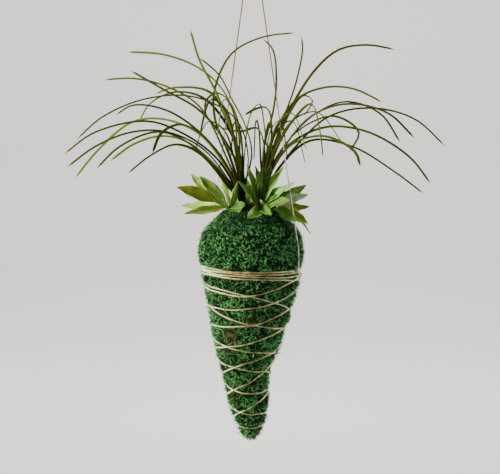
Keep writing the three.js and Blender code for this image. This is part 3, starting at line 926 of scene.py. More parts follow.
class BallForm:
    """The outline and the lean of the moss ball, in millimetres above its tip."""

    OUTLINE = np.array([
        [0, -2], [6.8, 3.4], [13, 16], [16.3, 26], [20, 45], [22.8, 68], [25.2, 80], [31.6, 99],
        [38, 123], [45, 155], [51, 178], [53.8, 200], [54.9, 212], [52, 228], [48.8, 236],
        [42.4, 244], [37, 250], [31.8, 256],
    ])
    HEIGHT = 257.5
    TIP_Z = RIM_Z - HEIGHT
    MOUTH = 28.6
    WALL = 9.0
    CORE = 46.0
    LEAN_BASE, LEAN_SWING, LEAN_HEIGHT, LEAN_SPREAD = -1.3, 5.8, 80.0, 50.0

    def radius(self, height: Array) -> Array:
        """Gives the outline's radius.

        Args:
            height: heights above the tip.

        Returns:
            The radius at each height.
        """
        radii, heights = self.OUTLINE.T
        last = len(heights) - 1
        low = np.clip(np.searchsorted(heights, height, side="right") - 1, 0, last - 1)
        before, after = np.maximum(low - 1, 0), np.minimum(low + 2, last)
        slope_low = (radii[low + 1] - radii[before]) / (heights[low + 1] - heights[before])
        slope_high = (radii[after] - radii[low]) / (heights[after] - heights[low])
        span = heights[low + 1] - heights[low]
        t = np.clip((height - heights[low]) / span, 0, 1)
        return cubic(radii[low], radii[low + 1], slope_low * span, slope_high * span, t)

    def hollow(self, height: Array) -> Array:
        """Gives the radius of the inside of the moss at these heights."""
        return np.minimum(self.radius(height) - self.WALL, self.CORE)

    def lean(self, height: Array | float) -> Array:
        """Gives how far the ball's middle stands to the side at a height."""
        off = (height - self.LEAN_HEIGHT) / self.LEAN_SPREAD
        return self.LEAN_BASE - self.LEAN_SWING * np.exp(-(off**2))

    def ring(self, turns: Array, out: float, up: float, bump: Array | float = 0.0) -> Array:
        """Gives a ring about the ball's leaning middle.

        Args:
            turns: the angle of each place.
            out: how far out they are.
            up: how far above the tip they are.
            bump: how much higher each is.

        Returns:
            The places.
        """
        return ring(turns, out, self.lean(up), 0.0, self.TIP_Z + up + bump)

    def at(self, turn: Array | float, height: Array | float, stand_off: Array | float) -> Array:
        """Gives places that stand off the outline.

        Args:
            turn: angles about the axis, from +X.
            height: heights above the tip.
            stand_off: how far out, square to the surface.

        Returns:
            The places in millimetres.
        """
        flare = np.hypot(1, (self.radius(height + 1) - self.radius(height - 1)) / 2)
        out = self.radius(height) + stand_off * flare
        x = self.lean(height) + out * np.cos(turn)
        return np.stack([x, out * np.sin(turn), self.TIP_Z + height + 0 * turn], axis=-1)


# Moss


@dataclass
class MossJacket:
    """The felted layer and the curled fibres that stand out of it.

    Rows, bands and the lip are heights above the ball's tip, and the crown, where
    the fibres get shorter, is measured from the rim. A stray is an angle, a height,
    how many fibres it has and how long they are.
    """

    form: BallForm
    segments: int = 128
    ring_step: float = 3.0
    felt_foot: tuple = (-1.0, 2.0)
    felt_rows: tuple = (5.0, 253.0)
    felt_lift: float = 0.7
    shoulder_sink: float = 2.2
    shoulder: tuple = (226.0, 248.0)
    lip_from: float = 250.0
    lip_out: tuple = (32.6, 30.6, 29.4, 28.6)
    lip_up: tuple = (252.6, 254.6, 255.4, 255.0)
    lip_inside: tuple = (252.0, 247.0)
    cavity_rows: tuple = (240.0, 16.0)
    cavity_step: float = 28.0
    cavity_floor: float = 12.0
    tip_drop: float = 1.9
    lump: float = 1.1
    lump_scale: float = 13.0
    spacing: float = 0.9
    most_fibres: float = 4.0e6
    kinds: int = 12
    fibre_length: float = 7.6
    fibre_lengths: tuple = (0.75, 1.2)
    fibre_tilt: tuple = (15, 55)
    fibre_curl: tuple = (35, 115)
    fibre_swerve: float = 110
    fibre_width: float = 0.38
    fibre_girths: tuple = (0.75, 1.15, 0.8)
    fibre_section: tuple = (0.9, 0.65)
    fibre_roots: tuple = (-0.6, -1.1)
    fibre_sizes: tuple = (0.65, 1.2)
    bare_within: float = 1.1
    twine_room: tuple = (1.2, 4.0)
    size_beside: float = 0.58
    crown: tuple = (-32.0, -10.0)
    size_on_top: float = 0.5
    bands: tuple = (-1.2, 105.0, 150.0, 184.0, 215.0, 262.0)
    stray_turn: float = 9.0
    stray_reach: float = 3.5
    stray_root: float = 0.5
    stray_rises: tuple = (-0.5, 0.3)
    stray_lengths: tuple = (0.7, 1.2)
    stray_tilts: tuple = (0.1, 0.5)
    stray_tints: tuple = (0.0, 0.6)
    strays: tuple = (
        (2, 132, 12, 10.5), (4, 98, 16, 11.5), (-12, 92, 10, 9.0), (8, 122, 6, 7.0), (178, 146, 8, 9.0),
        (176, 128, 6, 6.5), (0, 64, 5, 6.5), (182, 40, 5, 6.0), (-4, 48, 5, 6.5), (3, 180, 8, 7.0),
        (180, 185, 6, 6.0), (90, 110, 12, 8.0), (60, 150, 10, 8.0), (130, 90, 10, 8.0), (260, 20, 6, 6.0),
        (30, 2.5, 9, 5.5), (150, 2.5, 9, 5.5), (270, 2.5, 9, 5.5), (3, 205, 8, 6.5), (1, 160, 8, 7.5),
    )
    finish: MossFinish = field(default_factory=MossFinish)
    seed: int = 11

    def _outside(self, up: Array, least: float) -> Array:
        """Gives the felt's radius, which sinks over the shoulder, where fibres lie on top.

        Args:
            up: heights above the tip.
            least: the least radius.

        Returns:
            The radius at each height.
        """
        share = np.clip((up - self.shoulder[0]) / (self.shoulder[1] - self.shoulder[0]), 0, 1)
        lift = self.felt_lift - self.shoulder_sink * cubic(0.0, 1.0, 0.0, 0.0, share)
        return np.maximum(self.form.radius(up) + lift, least)

    def _rings(self, radii: Array, heights: Array) -> Array:
        """Places rings of the felt, with lumps.

        Args:
            radii: the radius of each ring.
            heights: its height above the tip.

        Returns:
            The rings.
        """
        turns = circle(self.segments)
        rings = np.array([self.form.ring(turns, out, up) for out, up in zip(radii, heights)])
        for spot in rings.reshape(-1, 3):
            lift = noise.noise(Vector(spot) / self.lump_scale) * self.lump
            away = np.array([spot[0] - self.form.lean(spot[2] - self.form.TIP_Z), spot[1], 0.0])
            spot += away / max(np.linalg.norm(away), 1e-6) * lift
        return rings

    def _end(self, height: float) -> Array:
        """Gives the place in the middle of the ball at a height above the tip."""
        return np.array([self.form.lean(max(height, 0.0)), 0.0, self.form.TIP_Z + height])

    def _felt(self) -> Object:
        """Builds the closed jacket: up the outside, over the rim and down inside.

        Returns:
            The piece.
        """
        up = np.concatenate([self.felt_foot, np.arange(*self.felt_rows, self.ring_step)])
        down = np.arange(*self.cavity_rows, -self.cavity_step)
        mouth = np.full(len(self.lip_inside), self.form.MOUTH)
        radii = np.concatenate([self._outside(up, 1.0), self.lip_out, mouth, self.form.hollow(down)])
        heights = np.concatenate([up, self.lip_up, self.lip_inside, down])
        rings = self._rings(radii, heights)
        clay = Clay()
        uvs = grid(np.linspace(0, 1, self.segments), heights / self.form.HEIGHT)
        clay.skin(rings, (self._end(-self.tip_drop), self._end(self.cavity_floor)), uvs)
        return dress(clay.piece("moss_felt"), "moss_jacket", self.finish.make_mat())

    def _patch(self, low: float, high: float) -> Object:
        """Builds the strip of the outline that one band of fibres grows on.

        Args:
            low: the strip's lower edge, above the tip.
            high: its upper edge; past the lip it also runs over the rim.

        Returns:
            The strip.
        """
        edge = min(high, self.lip_from)
        steps = max(2, round((edge - low) / self.ring_step))
        heights = np.arange(low, edge + 0.01, (edge - low) / steps)
        radii = self._outside(heights, 0.8)
        if high > self.lip_from:
            radii = np.concatenate([radii, self.lip_out, [self.form.MOUTH]])
            heights = np.concatenate([heights, self.lip_up, [self.lip_from]])
        points = self._rings(radii, heights).reshape(-1, 3)
        faces = quilt(len(heights), self.segments)
        if low <= 0:
            points = np.vstack([points, self._end(-self.tip_drop)])
            faces += [(len(points) - 1, (side + 1) % self.segments, side) for side in range(self.segments)]
        return link(bare("moss_patch", points, faces), "moss_patch")

    def _fibre(
        self, clay: Clay, draw: random.Random, length: float, tilt: float, root: Array, frame: Array
    ) -> None:
        """Adds one curled fibre that rises along its frame's last axis and bends over.

        Args:
            clay: where the fibre goes.
            draw: draws its curl.
            length: its length.
            tilt: its first lean, in radians.
            root: where it starts.
            frame: three axes, of which the last points out of the moss.
        """
        steps = len(self.fibre_girths)
        curl = math.radians(draw.uniform(*self.fibre_curl)) / steps
        swerve = math.radians(draw.uniform(-self.fibre_swerve, self.fibre_swerve)) / steps
        rooted, buried = self.fibre_roots
        heading, side = tilt, 0.0
        spots = [np.array([0.0, 0.0, rooted])]
        for _ in range(steps):
            flat = math.sin(heading)
            ahead = np.array([flat * math.cos(side), flat * math.sin(side), math.cos(heading)])
            spots.append(spots[-1] + ahead * length / steps)
            heading += curl
            side += swerve
        turns = np.radians(THREE_SIDES)[:, None]
        deep, wide = self.fibre_section
        rings = []
        for index, share in enumerate(self.fibre_girths):
            ahead = unit(spots[index + 1] - spots[max(index - 1, 0)])
            across = unit(np.cross(ahead, [0.0, 1.0, 0.13]))
            section = np.cos(turns) * np.cross(ahead, across) * deep + np.sin(turns) * across * wide
            rings.append(spots[index] + self.fibre_width * share * section)
        ends = (root + np.array([0.0, 0.0, buried]) @ frame, root + spots[-1] @ frame)
        reach = np.concatenate([np.repeat(np.linspace(0.05, 0.85, steps), len(turns)), [0.0, 1.0]])
        clay.skin(root + np.array(rings) @ frame, ends, reach=reach)

    def _kind(self, draw: random.Random) -> Mesh:
        """Builds the pattern of one kind of fibre.

        Args:
            draw: draws its length and its form.

        Returns:
            The pattern's mesh.
        """
        clay = Clay()
        length = self.fibre_length * draw.uniform(*self.fibre_lengths)
        tilt = math.radians(draw.uniform(*self.fibre_tilt))
        self._fibre(clay, draw, length, tilt, np.zeros(3), np.eye(3))
        return clay.shaped("fibre", mapped=False)

    def _tufts(self, material: Material) -> Object:
        """Builds the longer fibres that stray from the ball.

        Args:
            material: the fibres' finish.

        Returns:
            The piece.
        """
        draw = random.Random(self.seed + 90)
        clay = Clay()
        for degrees, height, count, length in self.strays:
            for _ in range(count):
                turn = math.radians(degrees + draw.uniform(-self.stray_turn, self.stray_turn))
                start = height + draw.uniform(-self.stray_reach, self.stray_reach)
                root = self.form.at(turn, start, self.stray_root)
                out = unit(np.array([math.cos(turn), math.sin(turn), draw.uniform(*self.stray_rises)]))
                spin = draw.uniform(0, math.tau)
                level = unit(np.cross(out, [0.0, 0.0, 1.0]))
                first = level * math.cos(spin) + np.cross(out, level) * math.sin(spin)
                frame = np.array([first, np.cross(out, first), out])
                long, tilt = length * draw.uniform(*self.stray_lengths), draw.uniform(*self.stray_tilts)
                self._fibre(clay, draw, long, tilt, root, frame)
        tints = [draw.uniform(*self.stray_tints) for _ in clay.points]
        clay.marks["tint"] = [np.full(len(fibre), tint) for fibre, tint in zip(clay.points, tints)]
        return dress(link(clay.shaped("moss_tufts", mapped=False), "moss_tufts"), material=material)

    def _tree(self, material: Material) -> NodeTree:
        """Scatters fibres over a patch, shorter beside the twine and none under it.

        Args:
            material: the fibres' finish.

        Returns:
            The tree.
        """
        tree = GrowthTree(
            "moss_pile", Spacing="Float", Seed="Int", Patterns="Collection", Twine="Object",
            Smallest="Float", Largest="Float",
        )
        points, upright = tree.scattered(self.most_fibres)
        shown = {"Object": tree.given("Twine")}
        twine = tree.wire("GeometryNodeObjectInfo", {"transform_space": "RELATIVE"}, shown, "Geometry")
        away = tree.wire("GeometryNodeProximity", {"target_element": "EDGES"}, {0: twine}, "Distance")
        close = {"A": away, "B": self.bare_within * MM}
        under = tree.wire("FunctionNodeCompare", {"operation": "LESS_THAN"}, close, "Result")
        doomed = {"Geometry": points, "Selection": under}
        kept = tree.wire("GeometryNodeDeleteGeometry", {"domain": "POINT"}, doomed)
        whirl = tree.chance((-0.5, -0.5, 0.0), (0.5, 0.5, math.tau), 1, "FLOAT_VECTOR")
        height = tree.split(tree.wire("GeometryNodeInputPosition"))[2]
        near, far = (room * MM for room in self.twine_room)
        beside = away.mapped(near, far, self.size_beside, 1.0)
        low, high = ((RIM_Z + rise) * MM for rise in self.crown)
        on_top = height.mapped(low, high, 1.0, self.size_on_top)
        size = tree.chance(tree.given("Smallest"), tree.given("Largest"), 2) * beside * on_top
        fibres = tree.planted(kept, self.kinds, 3, tree.turned(upright, whirl), size)
        return tree.end(tree.named(fibres, "tint", tree.chance(0.0, 1.0, 4), domain="INSTANCE"), material)

    def build(self, rows: Sequence[Array]) -> list[Object]:
        """Builds the felt, the fibres band by band, and the stray tufts.

        Args:
            rows: the places along each length of twine, which the fibres make room for.

        Returns:
            The pieces.
        """
        material = self.finish.make()
        pieces = [self._felt()]
        guide = join([polyline(row, "twine_guide") for row in rows], "twine_guide")
        draw = random.Random(self.seed)
        patterns = Patterns("fibre_kinds", (self._kind(draw) for _ in range(self.kinds)))
        tree = self._tree(material)
        for number, (low, high) in enumerate(zip(self.bands, self.bands[1:]), start=1):
            piece = grow(
                self._patch(low, high), tree, f"moss_pile_{number}", Spacing=self.spacing * MM,
                Seed=self.seed + number, Patterns=patterns.collection, Twine=guide,
                Smallest=self.fibre_sizes[0], Largest=self.fibre_sizes[1],
            )
            pieces.append(dress(piece))
        patterns.put_away()
        bpy.data.objects.remove(guide)
        return [*pieces, self._tufts(material)]


# Soil


@dataclass
class RootBall:
    """The soil inside the moss, with crumbs over its mound.

    The foot is its lowest ring's radius and height, and the height of its end. Each
    of the crown's rings is a radius and a drop below the rim.
    """

    form: BallForm
    segments: int = 64
    clearance: float = 0.6
    foot: tuple = (6.0, 14.0, 13.0)
    inner_rows: tuple = (24.0, 241.0, 24.0)
    crown: tuple = ((28.0, 7.8), (28.0, 6.0), (25.0, 5.0), (18.0, 3.8), (9.0, 3.2), (3.0, 3.0))
    mound_drop: float = 3.0
    edge_drop: float = 6.0
    mound_x: float = -1.3
    mound_rings: tuple = (3.0, 12.0, 20.0, 27.1)
    mound_sides: int = 24
    lump: float = 0.5
    lump_scale: float = 4.0
    kinds: int = 6
    crumb_size: float = 1.3
    crumb_rings: tuple = ((-0.45, 0.75), (0.2, 0.95))
    crumb_ends: tuple = (-0.8, 0.75)
    crumb_sides: int = 5
    crumb_spread: tuple = (0.75, 1.15)
    crumb_sizes: tuple = ((0.7, 1.3), (0.7, 1.1), (0.5, 0.9))
    spacing: float = 1.7
    most_crumbs: float = 2.0e6
    finish: SoilFinish = field(default_factory=SoilFinish)
    seed: int = 23

    def _body(self) -> Object:
        """Builds the closed body of the soil.

        Returns:
            The object.
        """
        form, top = self.form, self.form.HEIGHT
        foot_out, foot_up, base = self.foot
        inner = np.arange(*self.inner_rows)
        side = zip(form.hollow(inner) - self.clearance, inner)
        crown = ((out, top - drop) for out, drop in self.crown)
        turns = circle(self.segments)
        rings = []
        for out, up in [(foot_out, foot_up), *side, *crown]:
            spots = ring(turns, out, 0.0, 0.0, up)
            bump = [self.lump * noise.noise(Vector(spot) / self.lump_scale) for spot in spots]
            rings.append(form.ring(turns, out, up, np.array(bump)))
        ends = ([form.lean(0.0), 0, form.TIP_Z + base], [form.lean(top), 0, RIM_Z - self.mound_drop])
        clay = Clay()
        clay.skin(np.array(rings), ends)
        return clay.piece("soil_body")

    def _mound(self) -> Object:
        """Builds the disc that the crumbs lie on.

        Returns:
            The disc.
        """
        rings = []
        for out in self.mound_rings:
            drop = self.mound_drop + (self.edge_drop - self.mound_drop) * (out / self.form.MOUTH) ** 2
            rings.append(ring(circle(self.mound_sides), out, self.mound_x, 0.0, RIM_Z - drop))
        faces = [(face[0], *face[:0:-1]) for face in quilt(len(rings), self.mound_sides)]
        return link(bare("mound", np.concatenate(rings), faces), "mound")

    def _crumb(self, draw: random.Random) -> Mesh:
        """Builds one crumb, a lumpy lozenge of few faces.

        Args:
            draw: draws its form.

        Returns:
            The crumb's mesh.
        """
        turns = circle(self.crumb_sides)
        rings = []
        for up, out in self.crumb_rings:
            spread = np.array([out * draw.uniform(*self.crumb_spread) for _ in turns])
            rings.append(ring(turns, spread, 0.0, 0.0, up))
        size = self.crumb_size * np.array([draw.uniform(*span) for span in self.crumb_sizes])
        clay = Clay()
        clay.skin(np.array(rings) * size, [size * [0, 0, end] for end in self.crumb_ends])
        mesh = clay.shaped("crumb")
        mesh.shade_flat()
        return mesh

    def build(self) -> list[Object]:
        """Builds the soil and its crumbs.

        Returns:
            The pieces.
        """
        material = self.finish.make()
        tree = GrowthTree("soil_crumbs", Spacing="Float", Seed="Int", Patterns="Collection")
        points, _ = tree.scattered(self.most_crumbs)
        tumble = tree.chance((-1.5, -1.5, 0.0), (1.5, 1.5, math.tau), 2, "FLOAT_VECTOR")
        crumbs = tree.planted(points, self.kinds, 1, tumble, tree.chance(0.45, 1.25, 3))
        tree.end(tree.named(crumbs, "tint", tree.chance(0.0, 1.0, 4), domain="INSTANCE"), material)
        draw = random.Random(self.seed)
        patterns = Patterns("crumb_kinds", (self._crumb(draw) for _ in range(self.kinds)))
        strewn = grow(
            self._mound(), tree.tree, "soil_crumbs", Spacing=self.spacing * MM, Seed=self.seed,
            Patterns=patterns.collection,
        )
        patterns.put_away()
        return [dress(self._body(), "soil_core", material), dress(strewn)]


# Twine


@dataclass
class Twine:
    """Twisted twine of a given thickness, swept along rows of points."""

    radius: float = 0.94
    pitch: float = 6.4
    step: float = 1.1
    lobes: int = 3
    lobe_depth: float = 0.19
    section_sides: int = 9
    hair_spacing: float = 1.7
    hair_girths: tuple = (0.10, 0.08, 0.05)
    hair_lengths: tuple = (1.5, 2.3)
    hair_bow: float = 0.5
    hair_leans: tuple = (0.45, 1.35)
    hair_sizes: tuple = (0.6, 1.15)
    kinds: int = 6
    finish: TwineFinish = field(default_factory=TwineFinish)
    seed: int = 31

    def __post_init__(self) -> None:
        """Builds the tree and the loose hairs once for every length."""
        draw = random.Random(self.seed)
        self.hairs = Patterns("twine_hairs", (self._hair(draw) for _ in range(self.kinds)))
        self.tree = self._tree()

    def _hair(self, draw: random.Random) -> Mesh:
        """Builds one loose hair, rooted on the twine's axis.

        Args:
            draw: draws its length and its bow.

        Returns:
            The hair's mesh.
        """
        length = self.radius * draw.uniform(*self.hair_lengths)
        bow = draw.uniform(-self.hair_bow, self.hair_bow)
        spots = np.array([[0, 0, 0], [bow * 0.4, 0.1, 0.5 * length], [bow * 1.6, -0.2, 0.8 * length]])
        turns = np.radians(THREE_SIDES)
        rings = np.array([ring(turns, girth, *spot) for spot, girth in zip(spots, self.hair_girths)])
        clay = Clay()
        clay.skin(rings, (spots[0] - [0, 0, 0.1], spots[-1] + [bow * 0.8, 0, 0.3 * length]))
        return clay.shaped("hair", mapped=False)

    def _tree(self) -> NodeTree:
        """Sweeps a lobed section that turns with the length, and adds loose hairs.

        Returns:
            The tree.
        """
        tree = GrowthTree(
            "twisted_twine", Radius="Float", Pitch="Float", Step="Float", Hair_Spacing="Float",
            Patterns="Collection", Seed="Int",
        )
        row = tree.wire("GeometryNodeMeshToCurve", inputs={"Mesh": tree.given("Geometry")})
        even = {"Curve": row, "Length": tree.given("Step")}
        curve = tree.wire("GeometryNodeResampleCurve", {"mode": "LENGTH"}, even)
        gone = tree.wire("GeometryNodeSplineParameter", output="Length")
        twist = tree.maths("DIVIDE", gone, tree.given("Pitch")) * math.tau
        tilted = tree.wire("GeometryNodeSetCurveTilt", inputs={"Curve": curve, "Tilt": twist})
        round_section = {"Resolution": self.section_sides, "Radius": 1.0}
        hoop = tree.wire("GeometryNodeCurvePrimitiveCircle", {"mode": "RADIUS"}, round_section)
        spot = tree.wire("GeometryNodeInputPosition")
        laid = tree.named(hoop, "lay", spot, "FLOAT_VECTOR")
        right, up, _ = tree.split(spot)
        swell = tree.maths("COSINE", tree.maths("ARCTAN2", up, right) * float(self.lobes))
        width = (swell * self.lobe_depth + (1.0 - self.lobe_depth)) * tree.given("Radius")
        lobed = tree.wire("ShaderNodeVectorMath", {"operation": "SCALE"}, {0: spot, "Scale": width})
        section = tree.wire("GeometryNodeSetPosition", inputs={"Geometry": laid, "Position": lobed})
        path = {"Curve": tree.named(tilted, "along", gone), "Profile Curve": section, "Fill Caps": True}
        swept = tree.wire("GeometryNodeCurveToMesh", inputs=path)
        smooth = tree.wire("GeometryNodeSetShadeSmooth", inputs={"Geometry": swept})
        apart = {"Curve": tilted, "Length": tree.given("Hair Spacing")}
        roots = tree.add("GeometryNodeCurveToPoints", {"mode": "LENGTH"}, apart).outputs
        least, most = self.hair_leans
        lean = tree.chance((least, 0.0, 0.0), (most, 0.0, math.tau), 1, "FLOAT_VECTOR")
        aimed = tree.turned(Wire(tree, roots["Rotation"]), lean)
        size = tree.chance(*self.hair_sizes, 3)
        loose = tree.planted(Wire(tree, roots["Points"]), self.kinds, 2, aimed, size)
        fuzzy = tree.named(loose, "fuzz", 1.0, domain="INSTANCE")
        joined = tree.add("GeometryNodeJoinGeometry")
        for part in (fuzzy, smooth):
            tree.tree.links.new(part.socket, joined.inputs[0])
        return tree.end(Wire(tree, joined.outputs[0]), self.finish.make())

    def sweep(
        self, points: Array, name: str, seed: int, bleach: Array | float = 0.0, hairy: float = 1.0
    ) -> Object:
        """Sweeps the twine along points.

        Args:
            points: places in millimetres.
            name: the object's name.
            seed: sets the hairs.
            bleach: how pale it is, from 0 to 1: its own paler colour, and on the lacing a painted highlight.
            hairy: how densely loose hairs stand, 1 as usual.

        Returns:
            The length of twine.
        """
        return grow(
            polyline(points, name + "_route", bleach), self.tree, name, Radius=self.radius * MM,
            Pitch=self.pitch * MM, Step=self.step * MM, Hair_Spacing=self.hair_spacing * MM / hairy,
            Patterns=self.hairs.collection, Seed=self.seed + seed,
        )


class Way(Enum):
    """Which way a winding runs about the ball, seen from above."""

    LEFTWARDS = 1
    RIGHTWARDS = -1


@dataclass
class Lacing:
    """The band under the shoulder and the two crossing windings down to the tip."""

    form: BallForm
    twine: Twine
    stand_off: float = 1.9
    cross_lift: float = 1.7
    cross_reach: float = 4.5
    end_drop: float = 243.0
    back_dip: float = 4.0
    wobble: float = 0.28
    wobbles: tuple = ((1.0, 7.3), (0.6, 12.1))
    # Painted highlight on the lacing's left and right sides; the left, where the key light falls, is
    # stronger.
    bleach_left: float = 1.35
    bleach_right: float = 0.75
    samples: int = 48
    band: tuple = (
        67.5, 66.0, 62.9, 66.2, 66.9, 67.4, 65.1, 68.5, 70.0, 69.8, 67.6, 71.1, 74.4, 73.4, 70.6, 73.7, 78.8,
    )
    from_left: tuple = (
        (81, 93, 114), (108, 125, 135), (146, 156, 162), (170, 178, 184),
        (196, 205, 204), (222, 229, 230), (242.5, 246, 242.5),
    )
    from_right: tuple = (
        (72, 92, 86), (90, 107, 108), (108.5, 126, 129.5), (130, 147, 156),
        (156, 170, 185), (174, 194, 209), (206, 222, 235.5),
    )

    def _lace_drops(self, turns: Sequence[Sequence[float]]) -> list[float]:
        """Adds, between the turns, the drop at which each crosses the back.

        Args:
            turns: the drops of each turn at the left, the front and the right, in its own order.

        Returns:
            The drop at every quarter turn.
        """
        drops: list[float] = []
        for passes, after in zip(turns, turns[1:]):
            drops += [*passes, (passes[-1] + after[0]) / 2 + self.back_dip]
        return [*drops, *turns[-1], (turns[-1][-1] + self.end_drop) / 2]

    def _winding(self, drops: Sequence[float], way: Way, stand_off: Array | float) -> Array:
        """Samples a winding evenly by turns.

        Args:
            drops: its drop below the rim at each quarter turn.
            way: which way it runs.
            stand_off: how far its middle stands off the moss outline.

        Returns:
            The places in millimetres.
        """
        spans = len(drops) - 1
        quarters = np.linspace(0, spans, spans * self.samples // 4 + 1)
        low = np.minimum(np.floor(quarters).astype(int), spans - 1)
        known = np.array(drops, float)
        before, start, stop, after = (known[np.clip(low + step, 0, spans)] for step in (-1, 0, 1, 2))
        drop = cubic(start, stop, (stop - before) / 2, (after - start) / 2, quarters - low)
        drop += self.wobble * sum(share * np.sin(quarters * rate) for share, rate in self.wobbles)
        return self.form.at(way.value * math.pi * quarters / 2, self.form.HEIGHT - drop, stand_off)

    def routes(self) -> tuple[Array, Array]:
        """Works out the two windings; the over one rises where they cross.

        Returns:
            The places along the under and the over winding.
        """
        first_back = (self.band[-1] + self.from_left[0][0]) / 2
        under_drops = [*self.band, first_back, *self._lace_drops(self.from_left)]
        under = self._winding(under_drops, Way.LEFTWARDS, self.stand_off)
        over_drops = self._lace_drops(self.from_right)
        over = self._winding(over_drops, Way.RIGHTWARDS, self.stand_off)
        gaps = np.array([np.linalg.norm(under - spot, axis=1).min() for spot in over])
        lift = self.cross_lift * np.clip(1 - gaps / self.cross_reach, 0, 1) ** 0.7
        smooth = np.convolve(np.pad(lift, 2, mode="edge"), np.array([1, 2, 3, 2, 1]) / 9, mode="valid")
        return under, self._winding(over_drops, Way.RIGHTWARDS, self.stand_off + smooth)

    def _bleach(self, route: Array) -> Array:
        """Gives the painted highlight on a winding: most at the ball's sides, where the lights fall from the
        left and the right, least in front and behind.

        Args:
            route: the places along it.

        Returns:
            The bleach at each place.
        """
        out = route[:, 0] - self.form.lean(route[:, 2] - self.form.TIP_Z)
        side = out / np.hypot(out, route[:, 1])
        return side**2 * np.where(side < 0, self.bleach_left, self.bleach_right)

    def build(self, routes: tuple[Array, Array]) -> list[Object]:
        """Sweeps the twine along both windings.

        Args:
            routes: the places along each.

        Returns:
            The pieces.
        """
        plans = (("under", 1, "twine_lacing"), ("over", 2, ""))
        return [
            dress(self.twine.sweep(route, "twine_lacing_" + level, seed, self._bleach(route)), node)
            for route, (level, seed, node) in zip(routes, plans)
        ]


@dataclass(frozen=True)
class Strand:
    """Where one strand comes down: its angles over the shoulder and at its anchor knot."""

    label: str
    side: int
    shoulder_turn: float
    knot_turn: float
    strand_seed: int
    knot_seed: int


